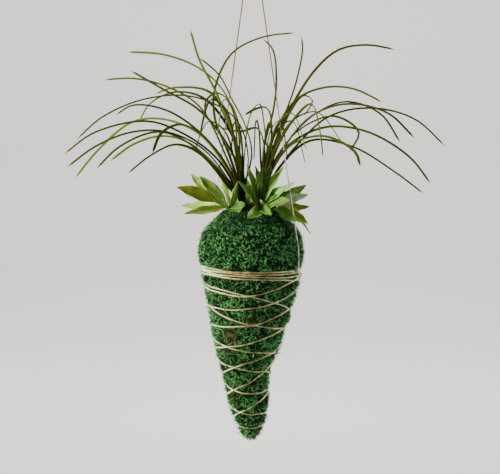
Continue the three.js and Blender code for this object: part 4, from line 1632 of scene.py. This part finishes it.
@dataclass
class Hanger:
    """The knots at the band, the two strands and the loop over the hook."""

    form: BallForm
    twine: Twine
    knot_twine: Twine
    strands: tuple = (Strand("right", 1, -23.5, -24.0, 61, 51), Strand("left", -1, 146.0, 147.0, 62, 57))
    loop_knot_z: float = -25.0
    strand_top_z: float = -28.3
    top_spread: float = 1.3
    shoulder_drop: float = 46.0
    shoulder_stand_off: float = 2.6
    anchor_drop: float = 67.0
    knot_stand_off: float = 4.6
    strand_end_rise: float = 2.8
    loop_half_width: float = 6.0
    loop_root: float = 0.6
    loop_bends: tuple = ((0.6, -17.0), (1.0, -8.0), (0.6, -1.0))
    loop_crown: tuple = (0.0, 0.0, 1.0)
    knot_size: float = 0.85
    knot_depth: float = 1.3
    tails: tuple = ((-1, 1.0, 2.0), (1, 0.75, 3.4), (0, 0.55, 0.6))
    tail_length: float = 11.0
    tail_root: tuple = (1.2, -1.0)
    tail_out: tuple = (0.0, 2.4, 0.8)
    tail_closing: float = 0.6
    corner_reach: float = 12.0
    corner_share: float = 0.6
    knot_bleach: float = 1.1
    knot_hairy: float = 2.5
    tail_hairy: float = 4.0
    tail_seeds: int = 5
    loop_hairy: float = 2.0
    loop_seeds: tuple = (41, 42)
    # How much paler each strand grows towards the ball, and between which heights.
    strand_bleach: float = 1.25
    bleach_from_z: float = -190.0
    bleach_to_z: float = -270.0

    def _knot_path(self) -> Array:
        """Gives a tight trefoil, flat in XY.

        Returns:
            The places along it.
        """
        turn = np.linspace(0, math.tau, 48)
        right = self.knot_size * (np.sin(turn) + 2 * np.sin(2 * turn))
        back = self.knot_size * (np.cos(turn) - 2 * np.cos(2 * turn))
        return np.stack([right, back, -self.knot_depth * np.sin(3 * turn)], axis=1)

    def _anchor_place(self, strand: Strand) -> Array:
        """Gives the middle of an anchor knot."""
        height = self.form.HEIGHT - self.anchor_drop
        return self.form.at(math.radians(strand.knot_turn), height, self.knot_stand_off)

    def _anchor(self, strand: Strand) -> Object:
        """Builds one anchor knot: the knotted lump and its frayed tails.

        Args:
            strand: the strand that it holds.

        Returns:
            The piece.
        """
        turn, seed = math.radians(strand.knot_turn), strand.knot_seed
        name = "anchor_knot_twine_" + strand.label
        centre = self._anchor_place(strand)
        frame = np.array([
            [-math.sin(turn), math.cos(turn), 0.0], [0.0, 0.0, 1.0], [math.cos(turn), math.sin(turn), 0.0],
        ])
        lump = centre + self._knot_path() @ frame
        parts = [self.knot_twine.sweep(lump, name, seed, self.knot_bleach, self.knot_hairy)]
        for side, share, bow in self.tails:
            low = -self.tail_length * share
            aside = (side * self.tail_root[0], side * bow, side * bow * self.tail_closing)
            bends = np.stack([aside, (self.tail_root[1], low * 0.5, low), self.tail_out], axis=1)
            tail = Route(centre + bends @ frame).at(np.linspace(0, 1, 14))
            fray = (seed + side + self.tail_seeds, self.knot_bleach, self.tail_hairy)
            parts.append(self.twine.sweep(tail, name + "_tail", *fray))
        return dress(join(parts, name), "anchor_knot_" + strand.label)

    def _strand_route(self, strand: Strand) -> Array:
        """Leads one strand from its anchor knot over the shoulder and up to the loop's knot.

        Args:
            strand: which strand.

        Returns:
            The places along it.
        """
        height = self.form.HEIGHT - self.shoulder_drop
        top = np.array([strand.side * self.top_spread, 0.0, self.strand_top_z])
        bend = self.form.at(math.radians(strand.shoulder_turn), height, self.shoulder_stand_off)
        end = self._anchor_place(strand) + [0, 0, self.strand_end_rise]
        before = bend + unit(top - bend) * self.corner_reach
        after = bend + (end - bend) * self.corner_share
        t = np.linspace(0, 1, 12)[:, None]
        corner = (1 - t) ** 2 * after + 2 * t * (1 - t) * bend + t**2 * before
        rise = before + (top - before) * np.linspace(0, 1, 60)[1:, None]
        return np.vstack([end + (after - end) * np.linspace(0, 1, 5)[:-1, None], corner, rise])

    def routes(self) -> list[Array]:
        """Gives the places along the right and the left strand."""
        return [self._strand_route(strand) for strand in self.strands]

    def _strand(self, strand: Strand, route: Array) -> Object:
        """Builds one strand.

        Args:
            strand: which strand.
            route: the places along it.

        Returns:
            The piece.
        """
        # The strand turns paler from its brown top down towards the ball.
        share = (route[:, 2] - self.bleach_from_z) / (self.bleach_to_z - self.bleach_from_z)
        bleach = np.clip(share, 0, 1) * self.strand_bleach
        piece = self.twine.sweep(route, "strand_twine_" + strand.label, strand.strand_seed, bleach)
        return dress(piece, "hanger_strand_" + strand.label)

    def _loop(self) -> Object:
        """Builds the knot above the strands and the loop that goes over the hook.

        Returns:
            The piece.
        """
        half, low = self.loop_half_width, self.loop_knot_z
        path = self._knot_path()
        knot = np.stack([path[:, 0], -path[:, 2], path[:, 1] + low], axis=1)
        rise = [(-self.loop_root, 0, low + 1), *((-share * half, 0, z) for share, z in self.loop_bends)]
        fall = [(-x, y, z) for x, y, z in reversed(rise)]
        bow = Route([*rise, self.loop_crown, *fall]).at(np.linspace(0, 1, 60))
        parts = [
            self.twine.sweep(knot, "hanging_loop_twine", self.loop_seeds[0], hairy=self.loop_hairy),
            self.twine.sweep(bow, "loop_bow", self.loop_seeds[1]),
        ]
        return dress(join(parts, "hanging_loop_twine"), "hanging_loop")

    def build(self, routes: Sequence[Array]) -> list[Object]:
        """Builds the hanger and logs the length of each of its two strands.

        Args:
            routes: the places along the right and the left strand.

        Returns:
            The pieces.
        """
        knots = [self._anchor(strand) for strand in self.strands]
        strands = [self._strand(strand, route) for strand, route in zip(self.strands, routes)]
        loop = self._loop()
        for piece, route, ends in zip(strands, routes, ([knots[0], loop], [knots[1]])):
            length = float(np.linalg.norm(np.diff(route, axis=0), axis=1).sum())
            tuple(route[0] * MM)
            2 * self.twine.radius * MM
            (route * MM).tolist()
            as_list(ends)
            log.info("%s is %.0f mm long", piece.name, length)
        return [*knots, loop, *strands]


# Rushes


LEFT_RUSHES = (
    (-10, ((-15, 61), (-31, 106), (-42, 132), (-59, 165), (-69, 199))),
    (60, ((-11, 60), (-30, 126), (-59, 155), (-99, 171), (-144, 175))),
    (-20, ((-15, 43), (-35, 82), (-61, 111), (-96, 131), (-134, 153))),
    (45, ((-29, 55), (-59, 112), (-94, 134), (-132, 144), (-169, 143))),
    (85, ((-15, 53), (-24, 83), (-47, 128), (-88, 134), (-113, 127))),
    (15, ((-5, 61), (-19, 100), (-66, 124), (-121, 121), (-168, 101), (-198, 75))),
    (-30, ((-23, 30), (-42, 58), (-78, 84), (-116, 97), (-173, 85), (-207, 61))),
    (-50, ((-22, 25), (-55, 67), (-96, 86), (-134, 85), (-171, 70), (-201, 48))),
    (62, ((-25, 37), (-59, 81), (-99, 98), (-136, 95), (-175, 64), (-204, 30))),
    (-85, ((-22, 23), (-45, 51), (-78, 79), (-105, 86), (-142, 71), (-166, 48))),
    (72, ((-27, 31), (-71, 71), (-102, 79), (-135, 70), (-164, 50))),
    (-110, ((-25, 24), (-57, 63), (-82, 73), (-108, 62), (-131, 44))),
    (-130, ((-20, 31), (-52, 81), (-76, 95), (-95, 87), (-104, 66))),
    (75, ((-16, 64), (-52, 120), (-87, 129), (-117, 116), (-131, 94))),
    (-60, ((-29, 49), (-61, 88), (-95, 110), (-129, 115), (-148, 104))),
    (55, ((-13, 81), (-26, 119), (-41, 128), (-53, 119), (-53, 98))),
    (30, ((-26, 61), (-41, 98), (-42, 131), (-23, 172), (10, 190), (49, 196))),
    (-30, ((-1, 61), (-8, 93), (-22, 120), (-36, 147), (-58, 167))),
)
RIGHT_RUSHES = (
    (15, ((18, 48), (32, 91), (49, 138), (57, 179), (55, 192))),
    (40, ((18, 45), (37, 97), (69, 151), (97, 176), (129, 182), (163, 177))),
    (-30, ((18, 65), (48, 120), (79, 134), (110, 133), (143, 118))),
    (-25, ((12, 65), (23, 111), (26, 145), (22, 176), (11, 188))),
    (20, ((22, 31), (49, 68), (87, 102), (134, 111), (182, 99), (218, 68))),
    (-60, ((28, 54), (63, 101), (101, 116), (146, 107), (176, 79))),
    (80, ((18, 31), (37, 69), (76, 107), (109, 118), (148, 104), (173, 70))),
    (-45, ((18, 32), (37, 67), (79, 90), (125, 86), (171, 59), (195, 29))),
    (60, ((27, 39), (65, 74), (114, 67), (163, 38), (198, 12))),
    (-110, ((20, 38), (43, 72), (77, 82), (109, 66), (114, 51))),
    (105, ((26, 53), (57, 88), (96, 101), (125, 82), (115, 59))),
    (-120, ((20, 50), (40, 94), (63, 117), (71, 90), (74, 61))),
    (-35, ((15, 49), (21, 88), (16, 112), (4, 111), (-9, 104))),
    (60, ((13, 36), (13, 70), (6, 88), (-14, 84), (-37, 88))),
    (95, ((23, 58), (44, 107), (59, 125), (70, 120), (60, 101))),
)


def short_draws(seed: int, factor: int = 16807, prime: int = 2147483647) -> Iterator[float]:
    """Draws the numbers that the model's source draws for its short blades.

    Args:
        seed: where the draws start.
        factor: what each draw multiplies by.
        prime: what each draw is the remainder by.

    Yields:
        Numbers from 0 to 1.
    """
    while True:
        seed = seed * factor % prime
        yield (seed - 1) / (prime - 1)


@dataclass
class RushClump:
    """One clump of long narrow leaves on a short foot."""

    label: str
    x: float
    y: float
    rushes: tuple
    fill_turns: tuple
    fill_seed: int
    material: Material
    base_width: float = 4.0
    tip_width: float = 2.9
    fill_girth: float = 0.62
    fill_reach: tuple = (75, 50)
    fill_crest: tuple = (85, 40)
    fill_fall: tuple = (0.45, 0.3)
    fill_sway: float = 8.0
    fill_arch: tuple = ((0.12, 0.5), (0.36, 0.9), (0.68, 1.0))
    foot_roll: float = 0.7
    drift_roll: float = 0.5
    girths: tuple = (0.85, 1.1)
    thickness: float = 0.48
    channel: float = 0.6
    lean_over: float = 0.55
    stations: int = 34
    root_spread: float = 4.0
    root_depth: float = 9.0
    root_rise: float = 6.0
    steps: tuple = (-1, -0.55, 0, 0.55, 1.0)
    depths: tuple = (0.35, 0.9, 1.15, 0.9, 0.35)
    foot_rings: tuple = ((6.3, -15.8), (6.4, -4.0), (5.9, -1.0), (4.4, 1.2), (2.2, 2.0))
    foot_ends: tuple = (-16, 2.2)
    foot_sides: int = 20
    foot_lobes: int = 5
    foot_lobe: float = 0.07
    foot_tone: float = 0.3

    def _fills(self) -> list[tuple]:
        """Gives the shorter blades that go to the back and the front.

        Returns:
            How far back each ends, and the places that it passes.
        """
        draws = short_draws(self.fill_seed)
        fills = []
        for degrees in self.fill_turns:
            turn = math.radians(degrees + self.fill_sway * (next(draws) - 0.5))
            reach, crest, fall = (
                least + more * next(draws)
                for least, more in (self.fill_reach, self.fill_crest, self.fill_fall)
            )
            passes = tuple(
                (self.x + reach * out * math.cos(turn), crest * up)
                for out, up in (*self.fill_arch, (1.0, fall))
            )
            fills.append((reach * math.sin(turn), passes))
        return fills

    def _route(self, rush: tuple, index: int, count: int) -> Route:
        """Gives the curve that one blade follows.

        Args:
            rush: how far back it ends, and the places that it passes.
            index: its number in the clump.
            count: how many blades the clump has.

        Returns:
            The curve.
        """
        back, passes = rush
        spread = self.root_spread * math.sqrt((index + 0.5) / count)
        golden = math.pi * (3 - math.sqrt(5))
        root_x = self.x + spread * math.cos(index * golden)
        root_y = self.y + spread * math.sin(index * golden)
        flat = np.array([(root_x, self.root_rise), *passes], float)
        gone = np.cumsum(np.linalg.norm(np.diff(flat, axis=0), axis=1))
        points = [(root_x, root_y, RIM_Z + rise) for rise in (-self.root_depth, self.root_rise)]
        for (x, z), share in zip(passes, gone / gone[-1]):
            points.append((x, root_y + back * share, RIM_Z + z))
        return Route(points)

    def _blade(self, clay: Clay, route: Route, girth: float, draw: random.Random) -> None:
        """Adds one channelled blade that narrows to its tip.

        Args:
            clay: where the blade goes.
            route: the curve that it follows.
            girth: its share of the usual width.
            draw: draws its roll, its width and its tone.
        """
        shares = np.linspace(0, 1, self.stations + 1)
        spots = route.at(shares)
        ahead = unit(np.gradient(spots, axis=0))
        heading = spots[-1] - spots[0]
        level = unit(np.array([-heading[1], heading[0], 0.0]))
        across = unit(level - (ahead @ level)[:, None] * ahead)
        over = np.cross(ahead, across)
        start, drift = (draw.uniform(-most, most) for most in (self.foot_roll, self.drift_roll))
        held = self.lean_over * math.copysign(1, drift)
        roll = (start * (1 - shares) ** 1.5 + drift * shares + held)[:, None]
        wide = across * np.cos(roll) + over * np.sin(roll)
        deep = -across * np.sin(roll) + over * np.cos(roll)
        width = self.tip_width + (self.base_width - self.tip_width) * (1 - shares) ** 0.85
        width *= np.where(shares < 0.1, 0.75 + 2.5 * shares, 1.0) * draw.uniform(*self.girths) * girth
        half = (width / 2)[:, None]
        steps = np.array(self.steps)
        top = self.channel * np.abs(steps) ** 1.4
        side = np.concatenate([steps, steps[::-1]])
        under = np.concatenate([0 * steps, -np.array(self.depths)])
        rise = half * np.concatenate([top, top[::-1]]) + self.thickness * under
        rings = spots[:, None] + wide[:, None] * (half * side)[..., None] + deep[:, None] * rise[..., None]
        ends = (spots[0] - [0, 0, 1.0], spots[-1])
        clay.leaf(rings, (side + 1) / 2, shares, ends, tone=draw.random() * girth)

    def _foot(self, clay: Clay) -> None:
        """Adds the foot that stands in the soil.

        Args:
            clay: where the foot goes.
        """
        turns = circle(self.foot_sides)
        rings = []
        for out, up in self.foot_rings:
            lobed = out * (1 + self.foot_lobe * np.sin(self.foot_lobes * turns + up))
            rings.append(ring(turns, lobed, self.x, self.y, RIM_Z + up))
        ends = [[self.x, self.y, RIM_Z + end] for end in self.foot_ends]
        clay.skin(np.array(rings), ends, tone=self.foot_tone)

    def build(self) -> list[Object]:
        """Builds the clump.

        Returns:
            The piece.
        """
        draw = random.Random(self.fill_seed * 7)
        clay = Clay()
        rushes = [*self.rushes, *self._fills()]
        for index, rush in enumerate(rushes):
            girth = 1.0 if index < len(self.rushes) else self.fill_girth
            self._blade(clay, self._route(rush, index, len(rushes)), girth, draw)
        self._foot(clay)
        return [dress(clay.piece("rushes_" + self.label), "rush_clump_" + self.label, self.material)]


# Broad leaves


@dataclass(frozen=True)
class LeafPlan:
    """One broad leaf: where it leaves its twig, its tip and how it is held."""

    at: float
    tip: tuple[float, float, float]
    width: float
    arch: float
    roll: float
    tone: float
    warmth: float = 0.2
    bluntness: float = 0.88


@dataclass
class LeafSprig:
    """A twig with its broad leaves."""

    name: str
    node: str
    twig: tuple
    leaves: tuple
    seed: int
    material: Material
    stem_radius: float = 1.5
    stem_sides: int = 8
    stem_stations: int = 14
    stem_taper: float = 0.25
    stem_lump: float = 0.08
    stem_lumps: float = 40
    petiole: float = 0.8
    thickness: float = 0.55
    fold: float = 0.35
    wave: float = 0.7
    waves: float = 17
    wave_slant: float = 1.3
    crest: float = 0.88
    edge: float = 0.45
    rib_width: float = 0.18
    rib_depth: float = 0.6
    rib_fade: float = 0.7
    stations: int = 26
    steps: tuple = (-1, -0.78, -0.5, -0.22, 0, 0.22, 0.5, 0.78, 1.0)

    def _leaf(self, clay: Clay, start: Array, plan: LeafPlan, draw: random.Random) -> None:
        """Adds one leaf with a folded, gently waved blade.

        Args:
            clay: where the leaf goes.
            start: where it leaves its twig.
            plan: its form.
            draw: draws its waves and its tone.
        """
        tip = np.array(plan.tip) + [0, 0, RIM_Z]
        length = np.linalg.norm(tip - start)
        ahead = (tip - start) / length
        level = np.array([-ahead[1], ahead[0], 0.0])
        level = unit(level) if np.linalg.norm(level) > 0.05 else np.array([1.0, 0.0, 0.0])
        angle = math.radians(plan.roll)
        across = level * math.cos(angle) + np.cross(ahead, level) * math.sin(angle)
        out = unit(np.cross(ahead, across))
        along = np.linspace(0, 1, self.stations + 1)
        t = along[:, None]
        half = plan.width / 2 * np.sin(math.pi * np.clip(t, 1e-6, 1) ** self.crest) ** plan.bluntness
        half = np.maximum(self.petiole, half)
        half[-1] = 0.1
        middle = start + ahead * (length * t) + out * plan.arch * np.sin(math.pi * t)
        steps = np.array(self.steps)
        aside = np.abs(steps)
        phase = draw.uniform(0, math.tau)
        ripple = self.wave * np.sin(t * self.waves + phase + steps * self.wave_slant) * aside**2
        lift = self.fold * half * aside**1.15 + ripple * np.clip((half - self.petiole) / 3, 0, 1)
        top = middle[:, None] + across * (half * steps)[..., None] + out * lift[..., None]
        blade = self.thickness * (self.edge + (1 - self.edge) * (1 - aside**3))
        rib = np.exp(-((steps / self.rib_width) ** 2)) * self.rib_depth * (1 - self.rib_fade * t)
        under = top - out * (blade + rib)[..., None]
        sideways = np.concatenate([(steps + 1) / 2, (steps[::-1] + 1) / 2])
        tone = plan.tone + draw.uniform(-0.05, 0.05)
        rings = np.concatenate([top, under[:, ::-1]], axis=1)
        clay.leaf(rings, sideways, along, (start - ahead * 0.6, tip), tone=tone, warmth=plan.warmth)

    def _stem(self, clay: Clay, route: Route) -> None:
        """Adds the twig.

        Args:
            clay: where the twig goes.
            route: the curve that it follows.
        """
        shares = np.linspace(0, 1, self.stem_stations)
        spots = route.at(shares)
        ahead = unit(np.gradient(spots, axis=0))
        side = unit(np.cross(ahead, [0.3, 1.0, 0.2]))[:, None]
        over = np.cross(ahead[:, None], side)
        turns = circle(self.stem_sides)[:, None]
        lumps = 1 + self.stem_lump * np.sin(shares * self.stem_lumps)
        girth = self.stem_radius * (1 - self.stem_taper * shares) * lumps
        rings = spots[:, None] + girth[:, None, None] * (side * np.cos(turns) + over * np.sin(turns))
        ends = (spots[0], spots[-1] + ahead[-1] * 0.4)
        clay.skin(rings, ends, grid(np.zeros(self.stem_sides), shares), tone=0.35, warmth=0.5)

    def build(self) -> list[Object]:
        """Builds the sprig.

        Returns:
            The piece.
        """
        route = Route([(x, y, RIM_Z + z) for x, y, z in self.twig])
        draw = random.Random(self.seed)
        clay = Clay()
        self._stem(clay, route)
        for plan in (LeafPlan(*numbers) for numbers in self.leaves):
            self._leaf(clay, route.at(plan.at), plan, draw)
        return [dress(clay.piece(self.name), self.node, self.material)]


def leaf_sprigs(material: Material) -> list[LeafSprig]:
    """Lists the four sprigs with their leaves, each leaf the numbers of its plan.

    Args:
        material: the leaves' finish.

    Returns:
        The sprigs.
    """
    left = (
        (0.97, (-84, -20, 25.5), 15.5, 1.5, -62, 0.54, 0.9),
        (0.93, (-69, 10, 38.5), 12, 2, -50, 0.60, 0.7),
        (0.55, (-59, -2, 37), 14.5, 2, -55, 0.54, 0.35),
        (0.45, (-52, -24, 25.5), 7, 2, -60, 0.86, 0.5),
        (0.6, (-75.5, -34, -3.5), 11, 0, -48, 0.84, 0.6),
        (0.9, (-80, 0, 3.5), 12, -3.5, -46, 0.98, 0.3),
        (0.4, (-37, -6, 41), 6.5, 1, 60, 0.65, 0.7),
        (0.3, (-16, -27, 31.5), 8.5, 1, 20, 0.50),
        (0.52, (-8, -34, 6.5), 14, -4, 66, 0.36, 0.05, 0.65),
    )
    front = (
        (0.8, (-16, -30, 33), 9.5, 2, -65, 0.44, 0.1),
        (0.9, (-6, -20, 50), 8.5, 1, -70, 0.62, 0.1),
        # The next three leaves, in the rosette's middle, get the darkest tones: partly their own dark olive,
        # partly painted shade.
        (0.95, (3, -26, 50), 13, 2, -20, 0.05, 0.3),
        (0.92, (12, -34, 47.5), 15, 2, -15, 0.07, 0.3, 0.75),
        (0.9, (21, -30, 50.5), 14, 2, -10, 0.10, 0.2, 0.8),
        (0.88, (35.5, -24, 49), 12.5, 2, 60, 0.66, 0.1),
        (0.85, (34, -28, 23), 12, 2, 55, 0.34, 0.1),
        (0.82, (47, -34, 31.5), 12, 2, 55, 0.70, 0.05),
        (0.8, (43, -26, 21), 13, 2, 58, 0.42, 0.1, 0.8),
        (0.76, (42, -40, 11.5), 15, 3, 50, 0.46, 0.1, 0.7),
        (0.7, (-5.5, -46, -6.5), 12.5, 5, -55, 0.52, 0.35, 0.45),
        (0.72, (21, -46, -4), 11, 4, 35, 0.48, 0.2, 0.7),
        (0.99, (10.5, -30, 11), 6.5, 1, -40, 1.0, 0.3),
        (0.6, (-4, -9, 27), 12, 1, -15, 0.10, 0.7, 0.7),
        (0.55, (19, -12, 24), 12, 1, 15, 0.14, 0.5, 0.7),
        (0.4, (-10, -8, 6), 14, 1, -62, 0.06, 0.6, 0.5),
        (0.5, (27, -12, 3), 9, 1, 20, 0.08, 0.5, 0.6),
        (0.8, (39, -18, 25), 15, 2, 45, 0.40, 0.1, 0.7),
    )
    right = (
        (0.5, (61, 12, 26), 13, 2, 55, 0.48, 0.5),
        # This leaf's tone runs into the whitish painted gloss highlight.
        (0.55, (63, -9, 16.5), 12, 2, 60, 1.12, 0.0),
        # This leaf's warm olive-brown is partly painted light shining through its underside from behind.
        (0.7, (64.5, 4, 2), 12, -3, 45, 0.46, 0.9),
        (0.55, (48.5, -28, -13), 14, 1, 52, 0.64, 0.15),
        (0.85, (62, -12, -16), 13, 0, 50, 0.60, 0.7),
        (0.97, (65.5, 1, -28.5), 5.5, 3, 30, 0.40, 0.5),
    )
    back = (
        (0.8, (-38, 50, 22), 12, 3, 0, 0.55), (0.9, (-29, 60, 14), 12, 3, 0, 0.65),
        (0.95, (-9, 62, 32), 11, 2, 0, 0.50), (0.86, (13, 68, 8), 13, 3, 0, 0.70),
        (0.88, (38, 52, 22), 12, 3, 0, 0.60), (0.76, (50, 34, 8), 11, 3, 0, 0.50),
        (0.74, (-52, 46, 2), 10, 3, 0, 0.75), (0.97, (12, 44, 44), 9, 1, 0, 0.60),
    )
    left_twig = ((-19, -6, -14), (-22, -7, -2), (-30, -9, 2), (-42, -12, 9))
    right_twig = ((20, -5, -14), (23, -5, 0), (29, -5, 3), (38, -5, -3))
    front_twig = ((7, -15, -14), (8, -16, 0), (9, -17, 5))
    back_twig = ((-1, 22, -14), (-1, 23, 0), (-1, 25, 5))
    return [
        LeafSprig("broad_leaves_left", "leaf_sprig_left", left_twig, left, 5, material),
        LeafSprig("broad_leaves_front", "leaf_rosette_front", front_twig, front, 6, material),
        LeafSprig("broad_leaves_right", "leaf_sprig_right", right_twig, right, 7, material),
        LeafSprig("broad_leaves_back", "leaf_sprig_back", back_twig, back, 8, material),
    ]


# Stage


@dataclass(frozen=True)
class Light:
    """One soft round light, in metres and watts."""

    name: str
    place: tuple
    size: float
    power: float
    color: tuple
    aim: tuple = (0.0, 0.0, -0.36)


@dataclass
class Studio:
    """The camera, the soft lights and the plain pale floor."""

    target: tuple = (-2.457, 0.0, -356.77)
    distance: float = 1900.0
    elevation: float = 5.0
    lens: float = 122.47
    sensor: float = 36.0
    floor_z: float = -1500.0
    floor_sides: int = 96
    floor_rings: tuple = (
        (1.0, 0.0), (7.0, 0.0), (8.5, 0.2), (9.8, 0.9), (10.6, 2.0), (11.0, 4.5), (11.6, 4.5), (11.6, -0.5),
    )
    lamps: tuple = (
        Light("key", (-2.4, -0.65, 0.25), 1.0, 230.0, (1.0, 0.98, 0.94)),
        Light("top", (-0.4, 0.3, 2.2), 1.2, 14.0, (1.0, 1.0, 1.0)),
        Light("fill", (2.2, 0.1, 0.3), 1.0, 66.0, (0.82, 0.93, 1.0)),
        Light("wash", (0.0, 3.5, 3.2), 3.0, 640.0, (1.0, 0.99, 0.97), (0.0, 10.5, 0.2)),
    )
    surround: tuple = (0.80, 0.79, 0.77, 1.0)
    surround_strength: float = 0.32

    def _stand(self, data: bpy.types.ID, place: Vector, ahead: Vector) -> Object:
        """Stands a camera or a light in the scene.

        Args:
            data: the camera or the light.
            place: where it stands, in metres.
            ahead: the way that it faces.

        Returns:
            The object.
        """
        made = link(data, data.name)
        made.location = place
        made.rotation_euler = ahead.to_track_quat("-Z", "Y").to_euler()
        return made

    def _camera(self) -> None:
        """Stands the camera at the photograph's viewing angle."""
        tilt = math.radians(self.elevation)
        back = Vector((0.0, -math.cos(tilt), math.sin(tilt)))
        data = bpy.data.cameras.new("camera")
        data.lens = self.lens
        data.sensor_width = self.sensor
        bpy.context.scene.camera = self._stand(data, (Vector(self.target) + back * self.distance) * MM, -back)

    def _lights(self) -> None:
        """Sets a wide key on the left, weaker lights round it and a pale surround."""
        for lamp in self.lamps:
            data = bpy.data.lights.new(lamp.name, "AREA")
            data.shape = "DISK"
            data.size = lamp.size
            data.energy = lamp.power
            data.color = lamp.color
            self._stand(data, Vector(lamp.place), Vector(lamp.aim) - Vector(lamp.place))
        world = bpy.data.worlds.new("surround")
        world.use_nodes = True
        ground = next(node for node in world.node_tree.nodes if node.type == "BACKGROUND")
        ground.inputs["Color"].default_value = self.surround
        ground.inputs["Strength"].default_value = self.surround_strength
        bpy.context.scene.world = world

    def _floor(self) -> None:
        """Lays a round pale floor that sweeps up far behind."""
        turns = circle(self.floor_sides)
        rings = [ring(turns, out / MM, 0.0, 0.0, self.floor_z + up / MM) for out, up in self.floor_rings]
        clay = Clay()
        clay.skin(np.array(rings)[:, ::-1], ([0, 0, self.floor_z], [0, 0, self.floor_z - 500]))
        floor = clay.piece("floor")
        floor.data.materials.append(StageFinish().make())
        floor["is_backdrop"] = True

    def build(self) -> None:
        """Sets up the camera, the lights and the floor."""
        self._camera()
        self._lights()
        self._floor()


def corners(box: tuple[Vector, Vector]) -> list[list[float]]:
    """Turns a box into plain lists of numbers."""
    return [list(map(float, corner)) for corner in box]


def main() -> None:
    """Loads the frame, dresses the planter and reports each piece."""
    logging.basicConfig(level=logging.INFO, format="%(name)s: %(message)s")
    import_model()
    solid_box = corners(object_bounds())
    Studio().build()
    form = BallForm()
    brown = TwineFinish(
        "brown_twine", (0.86, 0.80, 0.62), (0.24, 0.11, 0.045), (0.10, 0.036, 0.012), (0.035, 0.012, 0.004)
    )
    twine = Twine()
    thin_twine = Twine(radius=0.8, pitch=4.6, step=1.0, hair_spacing=3.2, finish=brown, seed=37)
    hanger = Hanger(form, thin_twine, twine)
    lacing = Lacing(form, twine)
    strands, windings = hanger.routes(), lacing.routes()
    pieces = [*hanger.build(strands), *lacing.build(windings)]
    for kind in (twine, thin_twine):
        kind.hairs.put_away()
    pieces += MossJacket(form).build([*windings, *strands])
    rush_leaf, broad_leaf = RushFinish().make(), LeafFinish().make()
    for part in (
        RootBall(form),
        RushClump("left", -12, 4, LEFT_RUSHES, (78, 98, 118, 134, 232, 258), 5, rush_leaf),
        RushClump("right", 11, 9, RIGHT_RUSHES, (40, 58, 76, 92, 282, 306), 6, rush_leaf),
        *leaf_sprigs(broad_leaf),
    ):
        pieces += part.build()
    for piece in pieces:
        faces = sum(len(face.vertices) - 2 for face in piece.data.polygons)
        log.info("made %s with %d triangles", piece.name, faces)
    {"solids": solid_box, "dressed": corners(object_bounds())}


if __name__ == "__main__":
    main()
